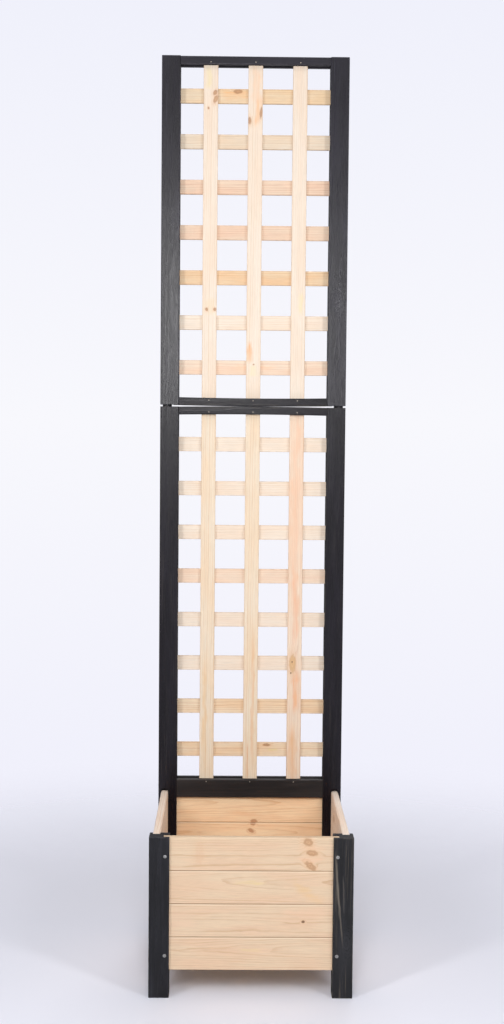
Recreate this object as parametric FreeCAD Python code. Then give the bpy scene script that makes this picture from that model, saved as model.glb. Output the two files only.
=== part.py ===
import FreeCAD, Part
import math
import os

# A square timber planter on four legs, with a trellis rising from its back.
# The two front posts and the two long rear stiles are grooved to take tongued boards on all
# four sides. The rear stiles carry the lower trellis panel. The upper trellis panel stands on
# two dowels in the tops of those stiles and lifts off them.
# Millimetres, +Z up, front towards -Y, origin on the ground below the middle of the planter.

V = FreeCAD.Vector
X_AXIS = V(1, 0, 0)
Y_AXIS = V(0, 1, 0)
Z_AXIS = V(0, 0, 1)
ORIGIN = V(0, 0, 0)

# Overall sizes
width = 400.0
depth = 400.0
box_top = 318.0
lower_stile_top = 1159.0
overall_height = 1904.0

# Uprights and rails
upright_width = 40.0
upright_depth = 36.0
upright_arris = 2.0
end_bevel = 1.5
post_above_boards = 1.0
rail_height = 17.0
base_rail_height = 40.0
rail_arris = 1.5
rail_end_inset = 1.0

# Tongued boards of the planter walls
board_thickness = 15.0
board_cover = 66.0
boards_per_wall = 4
tongue_thickness = 5.0
tongue_height = 5.0
tongue_end_gap = 0.5
seam_bevel = 1.0
top_board_round = 3.0
back_board_drop = 5.0

# Grooves that hold boards, tenons and laths
groove_play = 0.1
end_play = 0.5
wall_groove_lip = 6.0
front_groove_depth = 12.0
side_groove_depth = 10.0
base_rail_lap = 13.0
base_rail_lath_groove = 12.0
rail_lath_groove = 8.0

# Trellis laths
lath_width = 31.0
lath_bevel = 0.8
upright_lath_count = 3
lower_cross_lath_count = 8
upper_cross_lath_count = 7
lath_side_gap = 49.0
lath_end_gap = 47.5

# Dowels that carry the upper panel
dowel_diameter = 20.0
dowel_axis_inset = 14.5
dowel_socket_depth = 40.0
panel_gap = 4.0
upper_bore_depth = 36.0
dowel_running_play = 0.1
dowel_fixed_play = 0.02

# Planter floor
slat_count = 4
slat_thickness = 15.0
slat_gap = 12.0
slat_bevel = 1.0
floor_play = 0.5
cleat_width = 18.0
cleat_height = 24.0
cleat_above_boards = 4.0

# Countersunk screws, with a cross recess in the head
screw_length = 30.0
screw_diameter = 3.5
screw_head_diameter = 7.6
screw_head_height = 2.4
screw_sides = 10
fastener_play = 0.05
recess_span = 4.4
recess_width = 0.9
recess_depth = 1.4
wall_screw_from_inner_edge = 8.5
wall_screw_below_top = 37.0
wall_screw_above_bottom = 30.0
side_screw_stagger = 14.0

# Brads that pin the upright laths in the rails
brad_length = 16.0
brad_diameter = 1.6
brad_head_diameter = 2.8
brad_head_height = 0.6
brad_sides = 6
brad_from_rail_edge = 5.0

# Places worked out from the sizes above
half_width = width / 2
half_depth = depth / 2
inner_x = half_width - upright_width
post_back_y = -half_depth + upright_depth
stile_front_y = half_depth - upright_depth
stile_mid_y = half_depth - upright_depth / 2
groove_width = board_thickness + 2 * groove_play
lath_thickness = board_thickness / 2
boards_bottom = box_top - boards_per_wall * board_cover
wall_face = wall_groove_lip + groove_play
side_inner_x = half_width - wall_face - board_thickness
front_inner_y = -half_depth + wall_face + board_thickness
back_inner_y = stile_mid_y - board_thickness / 2
tenon_reach = front_groove_depth - end_play
base_rail_bottom = box_top - base_rail_lap
base_rail_top = base_rail_bottom + base_rail_height
upper_bottom = lower_stile_top + panel_gap
slat_bottom = boards_bottom + cleat_above_boards + cleat_height


def block(low, high):
    """A block between two opposite corners."""
    return Part.makeBox(high[0] - low[0], high[1] - low[1], high[2] - low[2], V(*low))


def edges_along(shape, axis):
    """The straight edges of a block that run along an axis."""
    found = []
    for edge in shape.Edges:
        run = edge.Vertexes[-1].Point - edge.Vertexes[0].Point
        if run.cross(axis).Length < 1e-6:
            found.append(edge)
    return found


def planed(low, high, axis, arris):
    """Planed timber: a block with its four long arrises rounded."""
    stock = block(low, high)
    return stock.makeFillet(arris, edges_along(stock, axis))


def bevelled(low, high, axis, bevel):
    """Sawn strip: a block with its four long arrises bevelled."""
    stock = block(low, high)
    return stock.makeChamfer(bevel, edges_along(stock, axis))


def mirrored(shape):
    """The left-hand twin of a right-hand piece."""
    return shape.mirror(ORIGIN, X_AXIS)


def groove(low, high, depth_axis, round_ends):
    """What a router cutter takes out: a channel between two corners.

    round_ends lists the heights where the channel stops and the cutter leaves a half circle.
    """
    cuts = [block(low, high)]
    mid_x = (low[0] + high[0]) / 2
    mid_y = (low[1] + high[1]) / 2
    for height in round_ends:
        if depth_axis is Y_AXIS:
            start = V(mid_x, low[1], height)
            reach = high[1] - low[1]
        else:
            start = V(low[0], mid_y, height)
            reach = high[0] - low[0]
        cuts.append(Part.makeCylinder(groove_width / 2, reach, start, depth_axis))
    return cuts


def polygon_face(points):
    """A flat face inside a closed run of points."""
    return Part.Face(Part.makePolygon(points + points[:1]))


def faceted(profile, sides):
    """A slim round piece along +Z, with flat sides, through (radius, height) rings."""
    turns = [2 * math.pi * n / sides for n in range(sides)]
    rings = [[V(r * math.cos(a), r * math.sin(a), z) for a in turns] for r, z in profile]
    faces = [polygon_face(rings[0]), polygon_face(rings[-1])]
    for low, high in zip(rings, rings[1:]):
        for n in range(sides):
            after = (n + 1) % sides
            faces.append(polygon_face([low[n], low[after], high[after], high[n]]))
    return Part.Solid(Part.Shell(faces)).removeSplitter()


def placed(shape, position, direction):
    """A piece made along +Z, moved to a position and turned to a direction."""
    shape.Placement = FreeCAD.Placement(position, FreeCAD.Rotation(Z_AXIS, direction))
    return shape


def screw_blank(play):
    """A countersunk screw without its recess, grown by a play to make its hole."""
    shank = screw_diameter / 2 + play
    profile = [
        (screw_head_diameter / 2 + play, 0),
        (shank, screw_head_height),
        (shank, screw_length + play),
    ]
    return faceted(profile, screw_sides)


def screw():
    """A countersunk screw with a cross recess, its head at the origin."""
    half_span = recess_span / 2
    half_slot = recess_width / 2
    recess_a = block((-half_span, -half_slot, 0), (half_span, half_slot, recess_depth))
    recess_b = block((-half_slot, -half_span, 0), (half_slot, half_span, recess_depth))
    return screw_blank(0).cut([recess_a, recess_b])


def brad(play):
    """A headed brad, grown by a play to make its hole."""
    shank = brad_diameter / 2 + play
    head = brad_head_diameter / 2 + play
    profile = [
        (head, 0),
        (head, brad_head_height + play),
        (shank, brad_head_height + play),
        (shank, brad_length + play),
    ]
    return faceted(profile, brad_sides)


def drilled(shape, holes):
    """A piece with every hole that reaches it cut out."""
    near = [hole for hole in holes if hole.BoundBox.intersect(shape.BoundBox)]
    if near:
        shape = shape.cut(near)
    return shape


def one_solid(shape):
    """The single solid of a cut piece, with split faces joined again."""
    return shape.removeSplitter().Solids[0]


def board_outline(with_tongue):
    """Half-open outline of a tongued board as (across, up) points, its outer face at 0."""
    thick = board_thickness
    bevel = seam_bevel
    slot = tongue_thickness / 2 + groove_play
    slot_depth = tongue_height + tongue_end_gap
    middle = thick / 2
    outline = [
        (0, bevel),
        (bevel, 0),
        (middle - slot, 0),
        (middle - slot, slot_depth),
        (middle + slot, slot_depth),
        (middle + slot, 0),
        (thick - bevel, 0),
        (thick, bevel),
    ]
    if not with_tongue:
        return outline + [(thick, board_cover), (0, board_cover)]
    tongue = tongue_thickness / 2
    return outline + [
        (thick, board_cover - bevel),
        (thick - bevel, board_cover),
        (middle + tongue, board_cover),
        (middle + tongue, board_cover + tongue_height),
        (middle - tongue, board_cover + tongue_height),
        (middle - tongue, board_cover),
        (bevel, board_cover),
        (0, board_cover - bevel),
    ]


def board(across_start, across, along, half_length, bottom, with_tongue):
    """A tongued board: its outline set up across the wall and run along it."""
    start = along * -half_length + Z_AXIS * bottom
    points = [start + across * (across_start + n) + Z_AXIS * z for n, z in board_outline(with_tongue)]
    solid = Part.Face(Part.makePolygon(points + points[:1])).extrude(along * (2 * half_length))
    if with_tongue:
        return solid
    top = bottom + board_cover
    rims = [e for e in edges_along(solid, along) if abs(e.BoundBox.ZMin - top) < 1e-6]
    return solid.makeFillet(top_board_round, rims)


def wall(name, across_start, across, along, half_length, bottom, ripped_top):
    """The boards of one wall, numbered from the top; a ripped top board has no tongue."""
    boards = {}
    for row in range(boards_per_wall):
        board_bottom = bottom + (boards_per_wall - 1 - row) * board_cover
        with_tongue = row > 0 or not ripped_top
        solid = board(across_start, across, along, half_length, board_bottom, with_tongue)
        boards[f"{name}_board_{row + 1}"] = solid
    return boards


def walls():
    """Front, back and side walls; the side walls have their outer faces turned outwards."""
    half_x = inner_x + tenon_reach
    half_y = stile_front_y + side_groove_depth - end_play
    front_y = -half_depth + wall_face
    side_x = half_width - wall_face
    back_y = stile_mid_y + board_thickness / 2
    boards = wall("front", front_y, Y_AXIS, X_AXIS, half_x, boards_bottom, True)
    boards.update(wall("right", -side_x, -X_AXIS, Y_AXIS, half_y, boards_bottom, True))
    boards.update(wall("left", -side_x, X_AXIS, Y_AXIS, half_y, boards_bottom, True))
    boards.update(wall("back", -back_y, -Y_AXIS, X_AXIS, half_x, boards_bottom - back_board_drop, False))
    return boards


def upright(front_y, bottom, top):
    """A right-hand post or stile, rounded along its length and bevelled at both ends."""
    low = (inner_x, front_y, bottom)
    high = (half_width, front_y + upright_depth, top)
    sharp = block(low, high)
    rims = [e for e in sharp.Edges if e.BoundBox.ZLength < 1e-6]
    return planed(low, high, Z_AXIS, upright_arris).common(sharp.makeChamfer(end_bevel, rims))


def front_post():
    """Right-hand front post: board grooves open at the top and stopped at the lowest board."""
    top = box_top + post_above_boards
    front_low = (inner_x, -half_depth + wall_groove_lip, boards_bottom)
    front_high = (inner_x + front_groove_depth, front_low[1] + groove_width, top)
    side_low = (half_width - wall_groove_lip - groove_width, post_back_y - side_groove_depth, boards_bottom)
    side_high = (half_width - wall_groove_lip, post_back_y, top)
    cuts = groove(front_low, front_high, X_AXIS, [boards_bottom])
    cuts += groove(side_low, side_high, Y_AXIS, [boards_bottom])
    return upright(-half_depth, 0, top).cut(cuts)


def panel_groove(bottom, top, round_ends):
    """The channel in a stile's inner face for back boards, rail tenons and cross laths."""
    low = (inner_x, stile_mid_y - groove_width / 2, bottom)
    high = (inner_x + front_groove_depth, stile_mid_y + groove_width / 2, top)
    return groove(low, high, X_AXIS, round_ends)


def dowel_hole(bottom, top, play):
    """The bore for a dowel, on the stile's solid side of the panel groove."""
    axis_point = V(half_width - dowel_axis_inset, stile_mid_y, bottom)
    return Part.makeCylinder(dowel_diameter / 2 + play, top - bottom, axis_point, Z_AXIS)


def lower_stile():
    """Right-hand rear stile, from the ground to the joint with the upper panel."""
    back_bottom = boards_bottom - back_board_drop
    side_low = (half_width - wall_groove_lip - groove_width, stile_front_y, boards_bottom)
    side_high = (half_width - wall_groove_lip, stile_front_y + side_groove_depth, box_top)
    cuts = panel_groove(back_bottom, lower_stile_top, [back_bottom])
    cuts += groove(side_low, side_high, Y_AXIS, [boards_bottom, box_top])
    cuts.append(dowel_hole(lower_stile_top - dowel_socket_depth, lower_stile_top, dowel_fixed_play))
    return upright(stile_front_y, 0, lower_stile_top).cut(cuts)


def upper_stile():
    """Right-hand stile of the upper panel, bored from below for its dowel."""
    cuts = panel_groove(upper_bottom, overall_height, [])
    cuts.append(dowel_hole(upper_bottom, upper_bottom + upper_bore_depth, dowel_running_play))
    return upright(stile_front_y, upper_bottom, overall_height).cut(cuts)


def dowel():
    """Right-hand dowel, bottomed in both bores so that it holds the panels apart."""
    bottom = V(half_width - dowel_axis_inset, stile_mid_y, lower_stile_top - dowel_socket_depth)
    length = dowel_socket_depth + panel_gap + upper_bore_depth
    return Part.makeCylinder(dowel_diameter / 2, length, bottom, Z_AXIS)


def rail(bottom, top, groove_below, groove_above):
    """A rail between the stiles, with stub tenons and channels of the given depths."""
    front = stile_front_y
    reach = inner_x + tenon_reach
    body = planed((-inner_x, front, bottom), (inner_x, half_depth, top), X_AXIS, rail_arris)
    tenon_y = stile_mid_y - board_thickness / 2
    tenon = block((-reach, tenon_y, bottom), (reach, tenon_y + board_thickness, top))
    channels = []
    channel_y = stile_mid_y - groove_width / 2
    for low, high in ((bottom, bottom + groove_below), (top - groove_above, top)):
        if high > low:
            channels.append(block((-reach, channel_y, low), (reach, channel_y + groove_width, high)))
    return body.fuse(tenon).cut(channels)


def rails():
    """The two rails of each panel, by name."""
    lower_top = lower_stile_top - rail_end_inset
    upper_low = upper_bottom + rail_end_inset
    upper_top = overall_height - rail_end_inset
    back_groove = base_rail_lap + tongue_end_gap
    return {
        "base_rail": rail(base_rail_bottom, base_rail_top, back_groove, base_rail_lath_groove),
        "lower_top_rail": rail(lower_top - rail_height, lower_top, rail_lath_groove, 0),
        "upper_bottom_rail": rail(upper_low, upper_low + rail_height, 0, rail_lath_groove),
        "upper_top_rail": rail(upper_top - rail_height, upper_top, rail_lath_groove, 0),
    }


def spread(low, high, count, edge_gap):
    """Middles of evenly spaced laths between two faces, the outer ones an edge gap away."""
    first = low + edge_gap + lath_width / 2
    last = high - edge_gap - lath_width / 2
    pitch = (last - first) / (count - 1)
    return [first + n * pitch for n in range(count)]


def upright_lath_places():
    """Middles of the upright laths across a panel."""
    return spread(-inner_x, inner_x, upright_lath_count, lath_side_gap)


def laths(panel, clear_low, clear_high, low_groove, high_groove, cross_count):
    """The laths of one panel: uprights in front, cross laths behind them, numbered from the top."""
    front = stile_mid_y - lath_thickness
    back = stile_mid_y + lath_thickness
    low = clear_low - low_groove + end_play
    high = clear_high + high_groove - end_play
    half = lath_width / 2
    reach = inner_x + tenon_reach
    pieces = {}
    for number, x in enumerate(upright_lath_places(), 1):
        corners = (x - half, front, low), (x + half, stile_mid_y, high)
        pieces[f"{panel}_upright_lath_{number}"] = bevelled(*corners, Z_AXIS, lath_bevel)
    heights = spread(clear_low, clear_high, cross_count, lath_end_gap)
    for number, z in enumerate(reversed(heights), 1):
        corners = (-reach, stile_mid_y, z - half), (reach, back, z + half)
        pieces[f"{panel}_cross_lath_{number}"] = bevelled(*corners, X_AXIS, lath_bevel)
    return pieces


def all_laths():
    """The laths of both panels, each set between its own rails."""
    lower_high = lower_stile_top - rail_end_inset - rail_height
    upper_low = upper_bottom + rail_end_inset + rail_height
    upper_high = overall_height - rail_end_inset - rail_height
    pieces = laths(
        "lower", base_rail_top, lower_high, base_rail_lath_groove, rail_lath_groove, lower_cross_lath_count
    )
    pieces.update(
        laths("upper", upper_low, upper_high, rail_lath_groove, rail_lath_groove, upper_cross_lath_count)
    )
    return pieces


def slat_edges():
    """Front and back edge of each floor slat, spread over the clear depth of the planter."""
    front = front_inner_y + floor_play
    back = back_inner_y - floor_play
    slat_width = (back - front - (slat_count - 1) * slat_gap) / slat_count
    starts = [front + n * (slat_width + slat_gap) for n in range(slat_count)]
    return [(start, start + slat_width) for start in starts]


def floor_slats():
    """Slats across the planter, the outer two notched round the posts and stiles."""
    half = side_inner_x - floor_play
    notch_x = inner_x - floor_play
    notch_front = post_back_y + floor_play
    notch_back = stile_front_y - floor_play
    top = slat_bottom + slat_thickness
    pieces = {}
    for number, (front, back) in enumerate(slat_edges(), 1):
        slat = bevelled((-half, front, slat_bottom), (half, back, top), X_AXIS, slat_bevel)
        notches = []
        for y0, y1 in ((front, notch_front), (notch_back, back)):
            if y1 > y0:
                notch = block((notch_x, y0, slat_bottom), (half, y1, top))
                notches += [notch, mirrored(notch)]
        if notches:
            slat = slat.cut(notches)
        pieces[f"floor_slat_{number}"] = slat
    return pieces


def floor_cleat():
    """Right-hand cleat that carries the slats along the foot of a side wall."""
    bottom = slat_bottom - cleat_height
    low = (side_inner_x - cleat_width, post_back_y + floor_play, bottom)
    high = (side_inner_x, stile_front_y - floor_play, slat_bottom)
    return bevelled(low, high, Y_AXIS, slat_bevel)


def both_hands(places):
    """Places and directions of fasteners with their mirror images."""
    pairs = list(places)
    for point, direction in places:
        pairs.append((V(-point.x, point.y, point.z), V(-direction.x, direction.y, direction.z)))
    return pairs


def wall_screw_places():
    """Screws through post and stile faces into the ends of the top and bottom boards."""
    heights = (box_top - wall_screw_below_top, boards_bottom + wall_screw_above_bottom)
    staggered = (heights[0] - side_screw_stagger, heights[1] + side_screw_stagger)
    end_x = inner_x + wall_screw_from_inner_edge
    end_y = stile_front_y + side_groove_depth / 2
    places = []
    for z in heights:
        places.append((V(end_x, -half_depth, z), Y_AXIS))
        places.append((V(end_x, half_depth, z), -Y_AXIS))
    for z in staggered:
        places.append((V(half_width, -end_y, z), -X_AXIS))
        places.append((V(half_width, end_y, z), -X_AXIS))
    return both_hands(places)


def floor_screw_places():
    """Screws down through the slats and out through the cleats, clear of each other."""
    cleat_x = side_inner_x - cleat_width / 2
    edges = slat_edges()
    top = slat_bottom + slat_thickness
    middle = slat_bottom - cleat_height / 2
    places = []
    for front, back in edges:
        places.append((V(cleat_x, (front + back) / 2, top), -Z_AXIS))
    for y in (edges[0][1] + slat_gap / 2, edges[-1][0] - slat_gap / 2):
        places.append((V(side_inner_x - cleat_width, y, middle), X_AXIS))
    return both_hands(places)


def brad_places(rail_edges):
    """Brads through the rails' front faces into each upright lath, at the given heights."""
    return [(V(x, stile_front_y, z), Y_AXIS) for z in rail_edges for x in upright_lath_places()]


def brad_heights():
    """Heights of the brad rows of the lower and of the upper panel."""
    inset = brad_from_rail_edge
    lower_high = lower_stile_top - rail_end_inset - rail_height
    upper_low = upper_bottom + rail_end_inset + rail_height
    upper_high = overall_height - rail_end_inset - rail_height
    return (base_rail_top - inset, lower_high + inset), (upper_low - inset, upper_high + inset)


def build():
    """Every piece by name, with the holes of its fasteners cut."""
    pieces = walls()
    for name, right_hand in (
        ("front_post", front_post()),
        ("lower_stile", lower_stile()),
        ("upper_stile", upper_stile()),
        ("floor_cleat", floor_cleat()),
    ):
        pieces[name + "_right"] = right_hand
        pieces[name + "_left"] = mirrored(right_hand)
    pieces.update(rails())
    pieces.update(all_laths())
    pieces.update(floor_slats())
    screws = {"wall_screws": wall_screw_places(), "floor_screws": floor_screw_places()}
    lower_rows, upper_rows = brad_heights()
    brads = {"lower_brads": brad_places(lower_rows), "upper_brads": brad_places(upper_rows)}
    holes = []
    for places in screws.values():
        holes += [placed(screw_blank(fastener_play), *place) for place in places]
    for places in brads.values():
        holes += [placed(brad(fastener_play), *place) for place in places]
    pieces = {name: one_solid(drilled(shape, holes)) for name, shape in pieces.items()}
    pieces["dowel_right"] = dowel()
    pieces["dowel_left"] = mirrored(dowel())
    for name, places in screws.items():
        pieces[name] = Part.Compound([placed(screw(), *place) for place in places])
    for name, places in brads.items():
        pieces[name] = Part.Compound([placed(brad(0), *place) for place in places])
    return pieces


os.makedirs("parts", exist_ok=True)
for node, shape in build().items():
    shape.exportStep(f"parts/{node}.step")
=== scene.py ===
"""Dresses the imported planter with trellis: rounded timber, pine and black stain, fasteners, floor, light.

Lengths are in millimetres while a piece is made, and in metres once its mesh is finished.
"""

import logging
import math
from dataclasses import dataclass, replace
from enum import Enum

import bmesh
import bpy
from mathutils import Matrix, Vector


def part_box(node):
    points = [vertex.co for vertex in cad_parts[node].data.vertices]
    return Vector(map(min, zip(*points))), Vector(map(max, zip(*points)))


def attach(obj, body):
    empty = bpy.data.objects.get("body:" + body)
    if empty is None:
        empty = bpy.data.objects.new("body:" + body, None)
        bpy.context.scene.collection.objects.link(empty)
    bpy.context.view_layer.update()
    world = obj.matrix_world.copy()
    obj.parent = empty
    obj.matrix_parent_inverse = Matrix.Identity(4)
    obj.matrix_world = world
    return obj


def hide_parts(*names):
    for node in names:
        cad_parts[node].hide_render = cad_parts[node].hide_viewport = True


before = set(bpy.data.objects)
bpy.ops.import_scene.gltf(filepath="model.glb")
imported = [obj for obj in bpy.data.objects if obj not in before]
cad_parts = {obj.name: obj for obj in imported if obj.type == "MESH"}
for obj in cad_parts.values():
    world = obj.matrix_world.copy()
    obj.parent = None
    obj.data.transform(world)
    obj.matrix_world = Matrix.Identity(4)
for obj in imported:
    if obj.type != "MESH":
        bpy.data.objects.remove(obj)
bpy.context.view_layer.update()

LOG = logging.getLogger("planter")
MM = 0.001
# How far a cutter runs past what it cuts.
RUN_OUT = 1.0
# Points of a shape nearer than this are one.
WELD = 0.001
# The cosine from which two directions count as one.
PARALLEL = 0.99

Point = tuple[float, float, float]
Span = tuple[float, float]
Spot = tuple[Vector, Vector]
Colour = tuple[float, float, float, float]
Shape = bmesh.types.BMesh
Socket = bpy.types.NodeSocket


def srgb(code: str) -> Colour:
    """Turns a six-letter display colour into linear red, green, blue and alpha."""
    parts = [int(code[n:n + 2], 16) / 255 for n in (0, 2, 4)]
    return (*[c / 12.92 if c <= 0.04045 else ((c + 0.055) / 1.055) ** 2.4 for c in parts], 1.0)


class Axis(Enum):
    """A direction of the part's frame."""

    X = 0
    Y = 1
    Z = 2

    def unit(self) -> Vector:
        """The unit vector along this axis."""
        return Vector([1.0 if n == self.value else 0.0 for n in range(3)])

    def along(self, lengthwise: float, crosswise: float) -> Vector:
        """Factors that scale by one amount along this axis and by another across it."""
        return Vector([lengthwise if n == self.value else crosswise for n in range(3)])


class Body(Enum):
    """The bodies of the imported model."""

    PLANTER = "planter"
    UPPER = "upper_trellis"


class Slot(Enum):
    """The record's material slots."""

    STAIN = "black_stain"
    BOARDS = "pine_boards"
    LATHS = "pine_laths"
    FLOOR = "floor_wood"
    ZINC = "zinc"


@dataclass(frozen=True)
class Box:
    """The space that a piece fills, in millimetres."""

    low: Vector
    high: Vector

    @classmethod
    def of_node(cls, node: str) -> "Box":
        """The box of a CAD node at rest."""
        low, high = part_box(node)
        return cls(low / MM, high / MM)

    @property
    def middle(self) -> Vector:
        """The middle of the box."""
        return (self.low + self.high) / 2

    @property
    def half(self) -> Vector:
        """Half the size of the box."""
        return (self.high - self.low) / 2

    @property
    def outer(self) -> float:
        """How far the box reaches from the middle of the object along X."""
        return max(-self.low.x, self.high.x)

    @property
    def inner(self) -> float:
        """How far the box stays from the middle of the object along X."""
        return max(self.low.x, -self.high.x)

    def through(self, axis: Axis) -> Span:
        """The ends along an axis of a cutter that goes right through."""
        return self.low[axis.value] - RUN_OUT, self.high[axis.value] + RUN_OUT

    def holds(self, point: Vector, reach: float) -> bool:
        """Whether a point lies in the box, or within a reach of it."""
        return all(low - reach <= at <= high + reach for low, at, high in zip(self.low, point, self.high))

    def seed(self, *shares: float) -> float:
        """A number of the piece's own, from where its box starts."""
        return sum(low * share for low, share in zip(self.low, shares))


class Graph:
    """The node tree of a material or world, built with short calls that give back output sockets."""

    GLANCE = (0.3, 0.75)

    def __init__(self, owner: bpy.types.Material | bpy.types.World) -> None:
        """Starts an empty tree.

        Args:
            owner: The material or world that the tree belongs to.
        """
        self.owner = owner
        owner.use_nodes = True
        self.tree = owner.node_tree
        self.tree.nodes.clear()

    def add(self, kind: str, inputs: dict | None = None, **settings: object) -> bpy.types.Node:
        """Adds a node.

        Args:
            kind: The node's type.
            inputs: Values or sockets for its inputs, by name or number.
            **settings: The node's own properties.

        Returns:
            The new node.
        """
        node = self.tree.nodes.new(kind)
        for key, value in settings.items():
            setattr(node, key, value)
        for key, value in (inputs or {}).items():
            if isinstance(value, Socket):
                self.tree.links.new(value, node.inputs[key])
            else:
                node.inputs[key].default_value = value
        return node

    def math(self, operation: str, *values: object) -> Socket:
        """A Math node's result."""
        return self.add("ShaderNodeMath", dict(enumerate(values)), operation=operation).outputs[0]

    def vector(self, operation: str, *values: object) -> Socket:
        """A Vector Math node's result, a number for the operations that give one."""
        node = self.add("ShaderNodeVectorMath", dict(enumerate(values)), operation=operation)
        return node.outputs[1 if operation in ("LENGTH", "DOT_PRODUCT") else 0]

    def joined(self, *parts: object) -> Socket:
        """A vector of up to three parts."""
        return self.add("ShaderNodeCombineXYZ", dict(enumerate(parts))).outputs[0]

    def split(self, value: Socket) -> tuple[Socket, Socket, Socket]:
        """The three parts of a vector."""
        outputs = self.add("ShaderNodeSeparateXYZ", {0: value}).outputs
        return outputs[0], outputs[1], outputs[2]

    def place(self) -> Socket:
        """Where a point lies in the part's frame, in millimetres."""
        return self.vector("MULTIPLY", self.add("ShaderNodeTexCoord").outputs["Object"], Vector((1 / MM,) * 3))

    def noise(self, place: Socket, detail: float, roughness: float = 0.5) -> Socket:
        """Soft noise from 0 to 1 with features about one unit of the place in size."""
        inputs = {"Vector": place, "Scale": 1.0, "Detail": detail, "Roughness": roughness}
        return self.add("ShaderNodeTexNoise", inputs).outputs[0]

    def ease(self, value: Socket, start: float, end: float, low: float = 0.0, high: float = 1.0) -> Socket:
        """A smooth step of a value from low at start to high at end."""
        inputs = {0: value, 1: start, 2: end, 3: low, 4: high}
        return self.add("ShaderNodeMapRange", inputs, interpolation_type="SMOOTHSTEP").outputs[0]

    def ripple(self, distance: Socket, rate: float, depth: float, level: object) -> Socket:
        """Waves of a depth about a level, as many as a rate gives over a distance."""
        wave = self.math("SINE", self.math("MULTIPLY", distance, rate))
        return self.math("MULTIPLY_ADD", wave, depth, level)

    def mix(self, share: object, first: object, second: object, blend: str = "MIX") -> Socket:
        """Two colours, given as sockets or display codes, mixed by a share from 0 to 1."""
        first, second = (srgb(colour) if isinstance(colour, str) else colour for colour in (first, second))
        return self.add("ShaderNodeMix", {0: share, 6: first, 7: second}, data_type="RGBA", blend_type=blend).outputs[2]

    def tint(self, colour: object, mask: Socket, share: float, other: object) -> Socket:
        """A colour with a share of another laid over it where a mask allows."""
        return self.mix(self.math("MULTIPLY", mask, share), colour, other)

    def blend(self, share: Socket, first: bpy.types.Node, second: bpy.types.Node) -> Socket:
        """A shader that goes over from one to another by a share from 0 to 1."""
        return self.add("ShaderNodeMixShader", {0: share, 1: first.outputs[0], 2: second.outputs[0]}).outputs[0]

    def ramp(self, value: Socket, stops: list[tuple[float, Colour]]) -> Socket:
        """A band of colour made of straight runs.

        Args:
            value: The place on the band, from 0 to 1.
            stops: Places and colours that the band goes through.

        Returns:
            The colour at the place.
        """
        node = self.add("ShaderNodeValToRGB", {0: value})
        elements = node.color_ramp.elements
        while len(elements) < len(stops):
            elements.new(0.5)
        for element, (place, colour) in zip(elements, stops):
            element.position, element.color = place, colour
        return node.outputs[0]

    def bump(self, height: Socket, depth: float) -> Socket:
        """A bumped normal, for a height from 0 to 1 that stands for a depth in millimetres."""
        return self.add("ShaderNodeBump", {"Strength": 1.0, "Distance": depth * MM, "Height": height}).outputs[0]

    def glancing(self, rough: Socket, edge_on: float) -> Socket:
        """Roughness that rises where a surface is seen edge on, because the raised fibres stand up there.

        Args:
            rough: The roughness seen square on.
            edge_on: The roughness seen edge on.

        Returns:
            The roughness between the two.
        """
        facing = self.add("ShaderNodeLayerWeight", {"Blend": 0.5}).outputs["Facing"]
        share = self.ease(facing, *self.GLANCE)
        return self.math("MULTIPLY_ADD", share, self.math("SUBTRACT", edge_on, rough), rough)

    def finish(self, **inputs: object) -> bpy.types.Material:
        """Ends the tree in one surface shader.

        Args:
            **inputs: The shader's inputs, with underscores for the blanks in their names.

        Returns:
            The finished material.
        """
        named = {key.replace("_", " "): value for key, value in inputs.items()}
        shader = self.add("ShaderNodeBsdfPrincipled", named)
        self.add("ShaderNodeOutputMaterial", {0: shader.outputs[0]})
        return self.owner


class Tone(Enum):
    """Pine colours by name: pale wood, line of a ring, and the blush of the broad patches."""

    CREAM = ("efe0cf", "e0c6a8", "efd8c2")
    SAND = ("e5d6c2", "d0b292", "e6cbac")
    STRAW = ("e6d3b8", "d2ac80", "eac79c")
    OAT = ("ecdcc6", "dcb994", "edd3b4")
    ROSE = ("e8cfb7", "cf9f7e", "eac3a8")
    BLUSH = ("eed9c3", "daae90", "efcdb2")
    HONEY = ("e8cfae", "cb9763", "e8be92")
    # AMBER, darker than CREAM, paints shade on the lowest cross laths, darker towards the bottom.
    AMBER = ("efdabe", "cc9a6c", "edc8a0")
    BOARD = ("e3caac", "c9a07a", "e3c1a2")
    # INNER and SIDE are paler than BOARD, standing in for the light that reaches inside the box: painted light.
    INNER = ("fbdcb6", "deab7b", "f8cca2")
    SIDE = ("fcecdc", "e4bd9e", "fae0ca")
    FLOOR = ("e3c8a2", "b98f62", "dcb88e")


class KnotKind(Enum):
    """Kinds of knot: heart colour, rim colour, how strongly it covers the wood, how far it turns the rings."""

    LIVE = ("c0906a", "8f5f3b", 0.75, 1.0)
    DEAD = ("7d5233", "3d2616", 0.85, 1.0)
    RED = ("c4875c", "9c5c38", 0.7, 0.8)
    TAN = ("cda37d", "a67650", 0.8, 0.6)
    PALE = ("e0b682", "c79a66", 0.75, 0.8)
    BURIED = ("dcb594", "d6aa88", 0.22, 0.0)


@dataclass(frozen=True)
class Knot:
    """A branch that a face cuts through, placed along and across the grain in the part's millimetres."""

    along: float
    across: float
    half_length: float
    half_width: float
    kind: KnotKind = KnotKind.LIVE
    lean: float = 0.0


@dataclass(frozen=True)
class Streak:
    """A resin streak along the grain."""

    across: float
    half_width: float
    start: float
    end: float
    colour: str = "dd9a63"
    strength: float = 0.6
    lean: float = 0.0


@dataclass(frozen=True)
class Marks:
    """What branches and resin left on one piece."""

    knots: tuple[Knot, ...] = ()
    streaks: tuple[Streak, ...] = ()


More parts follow.
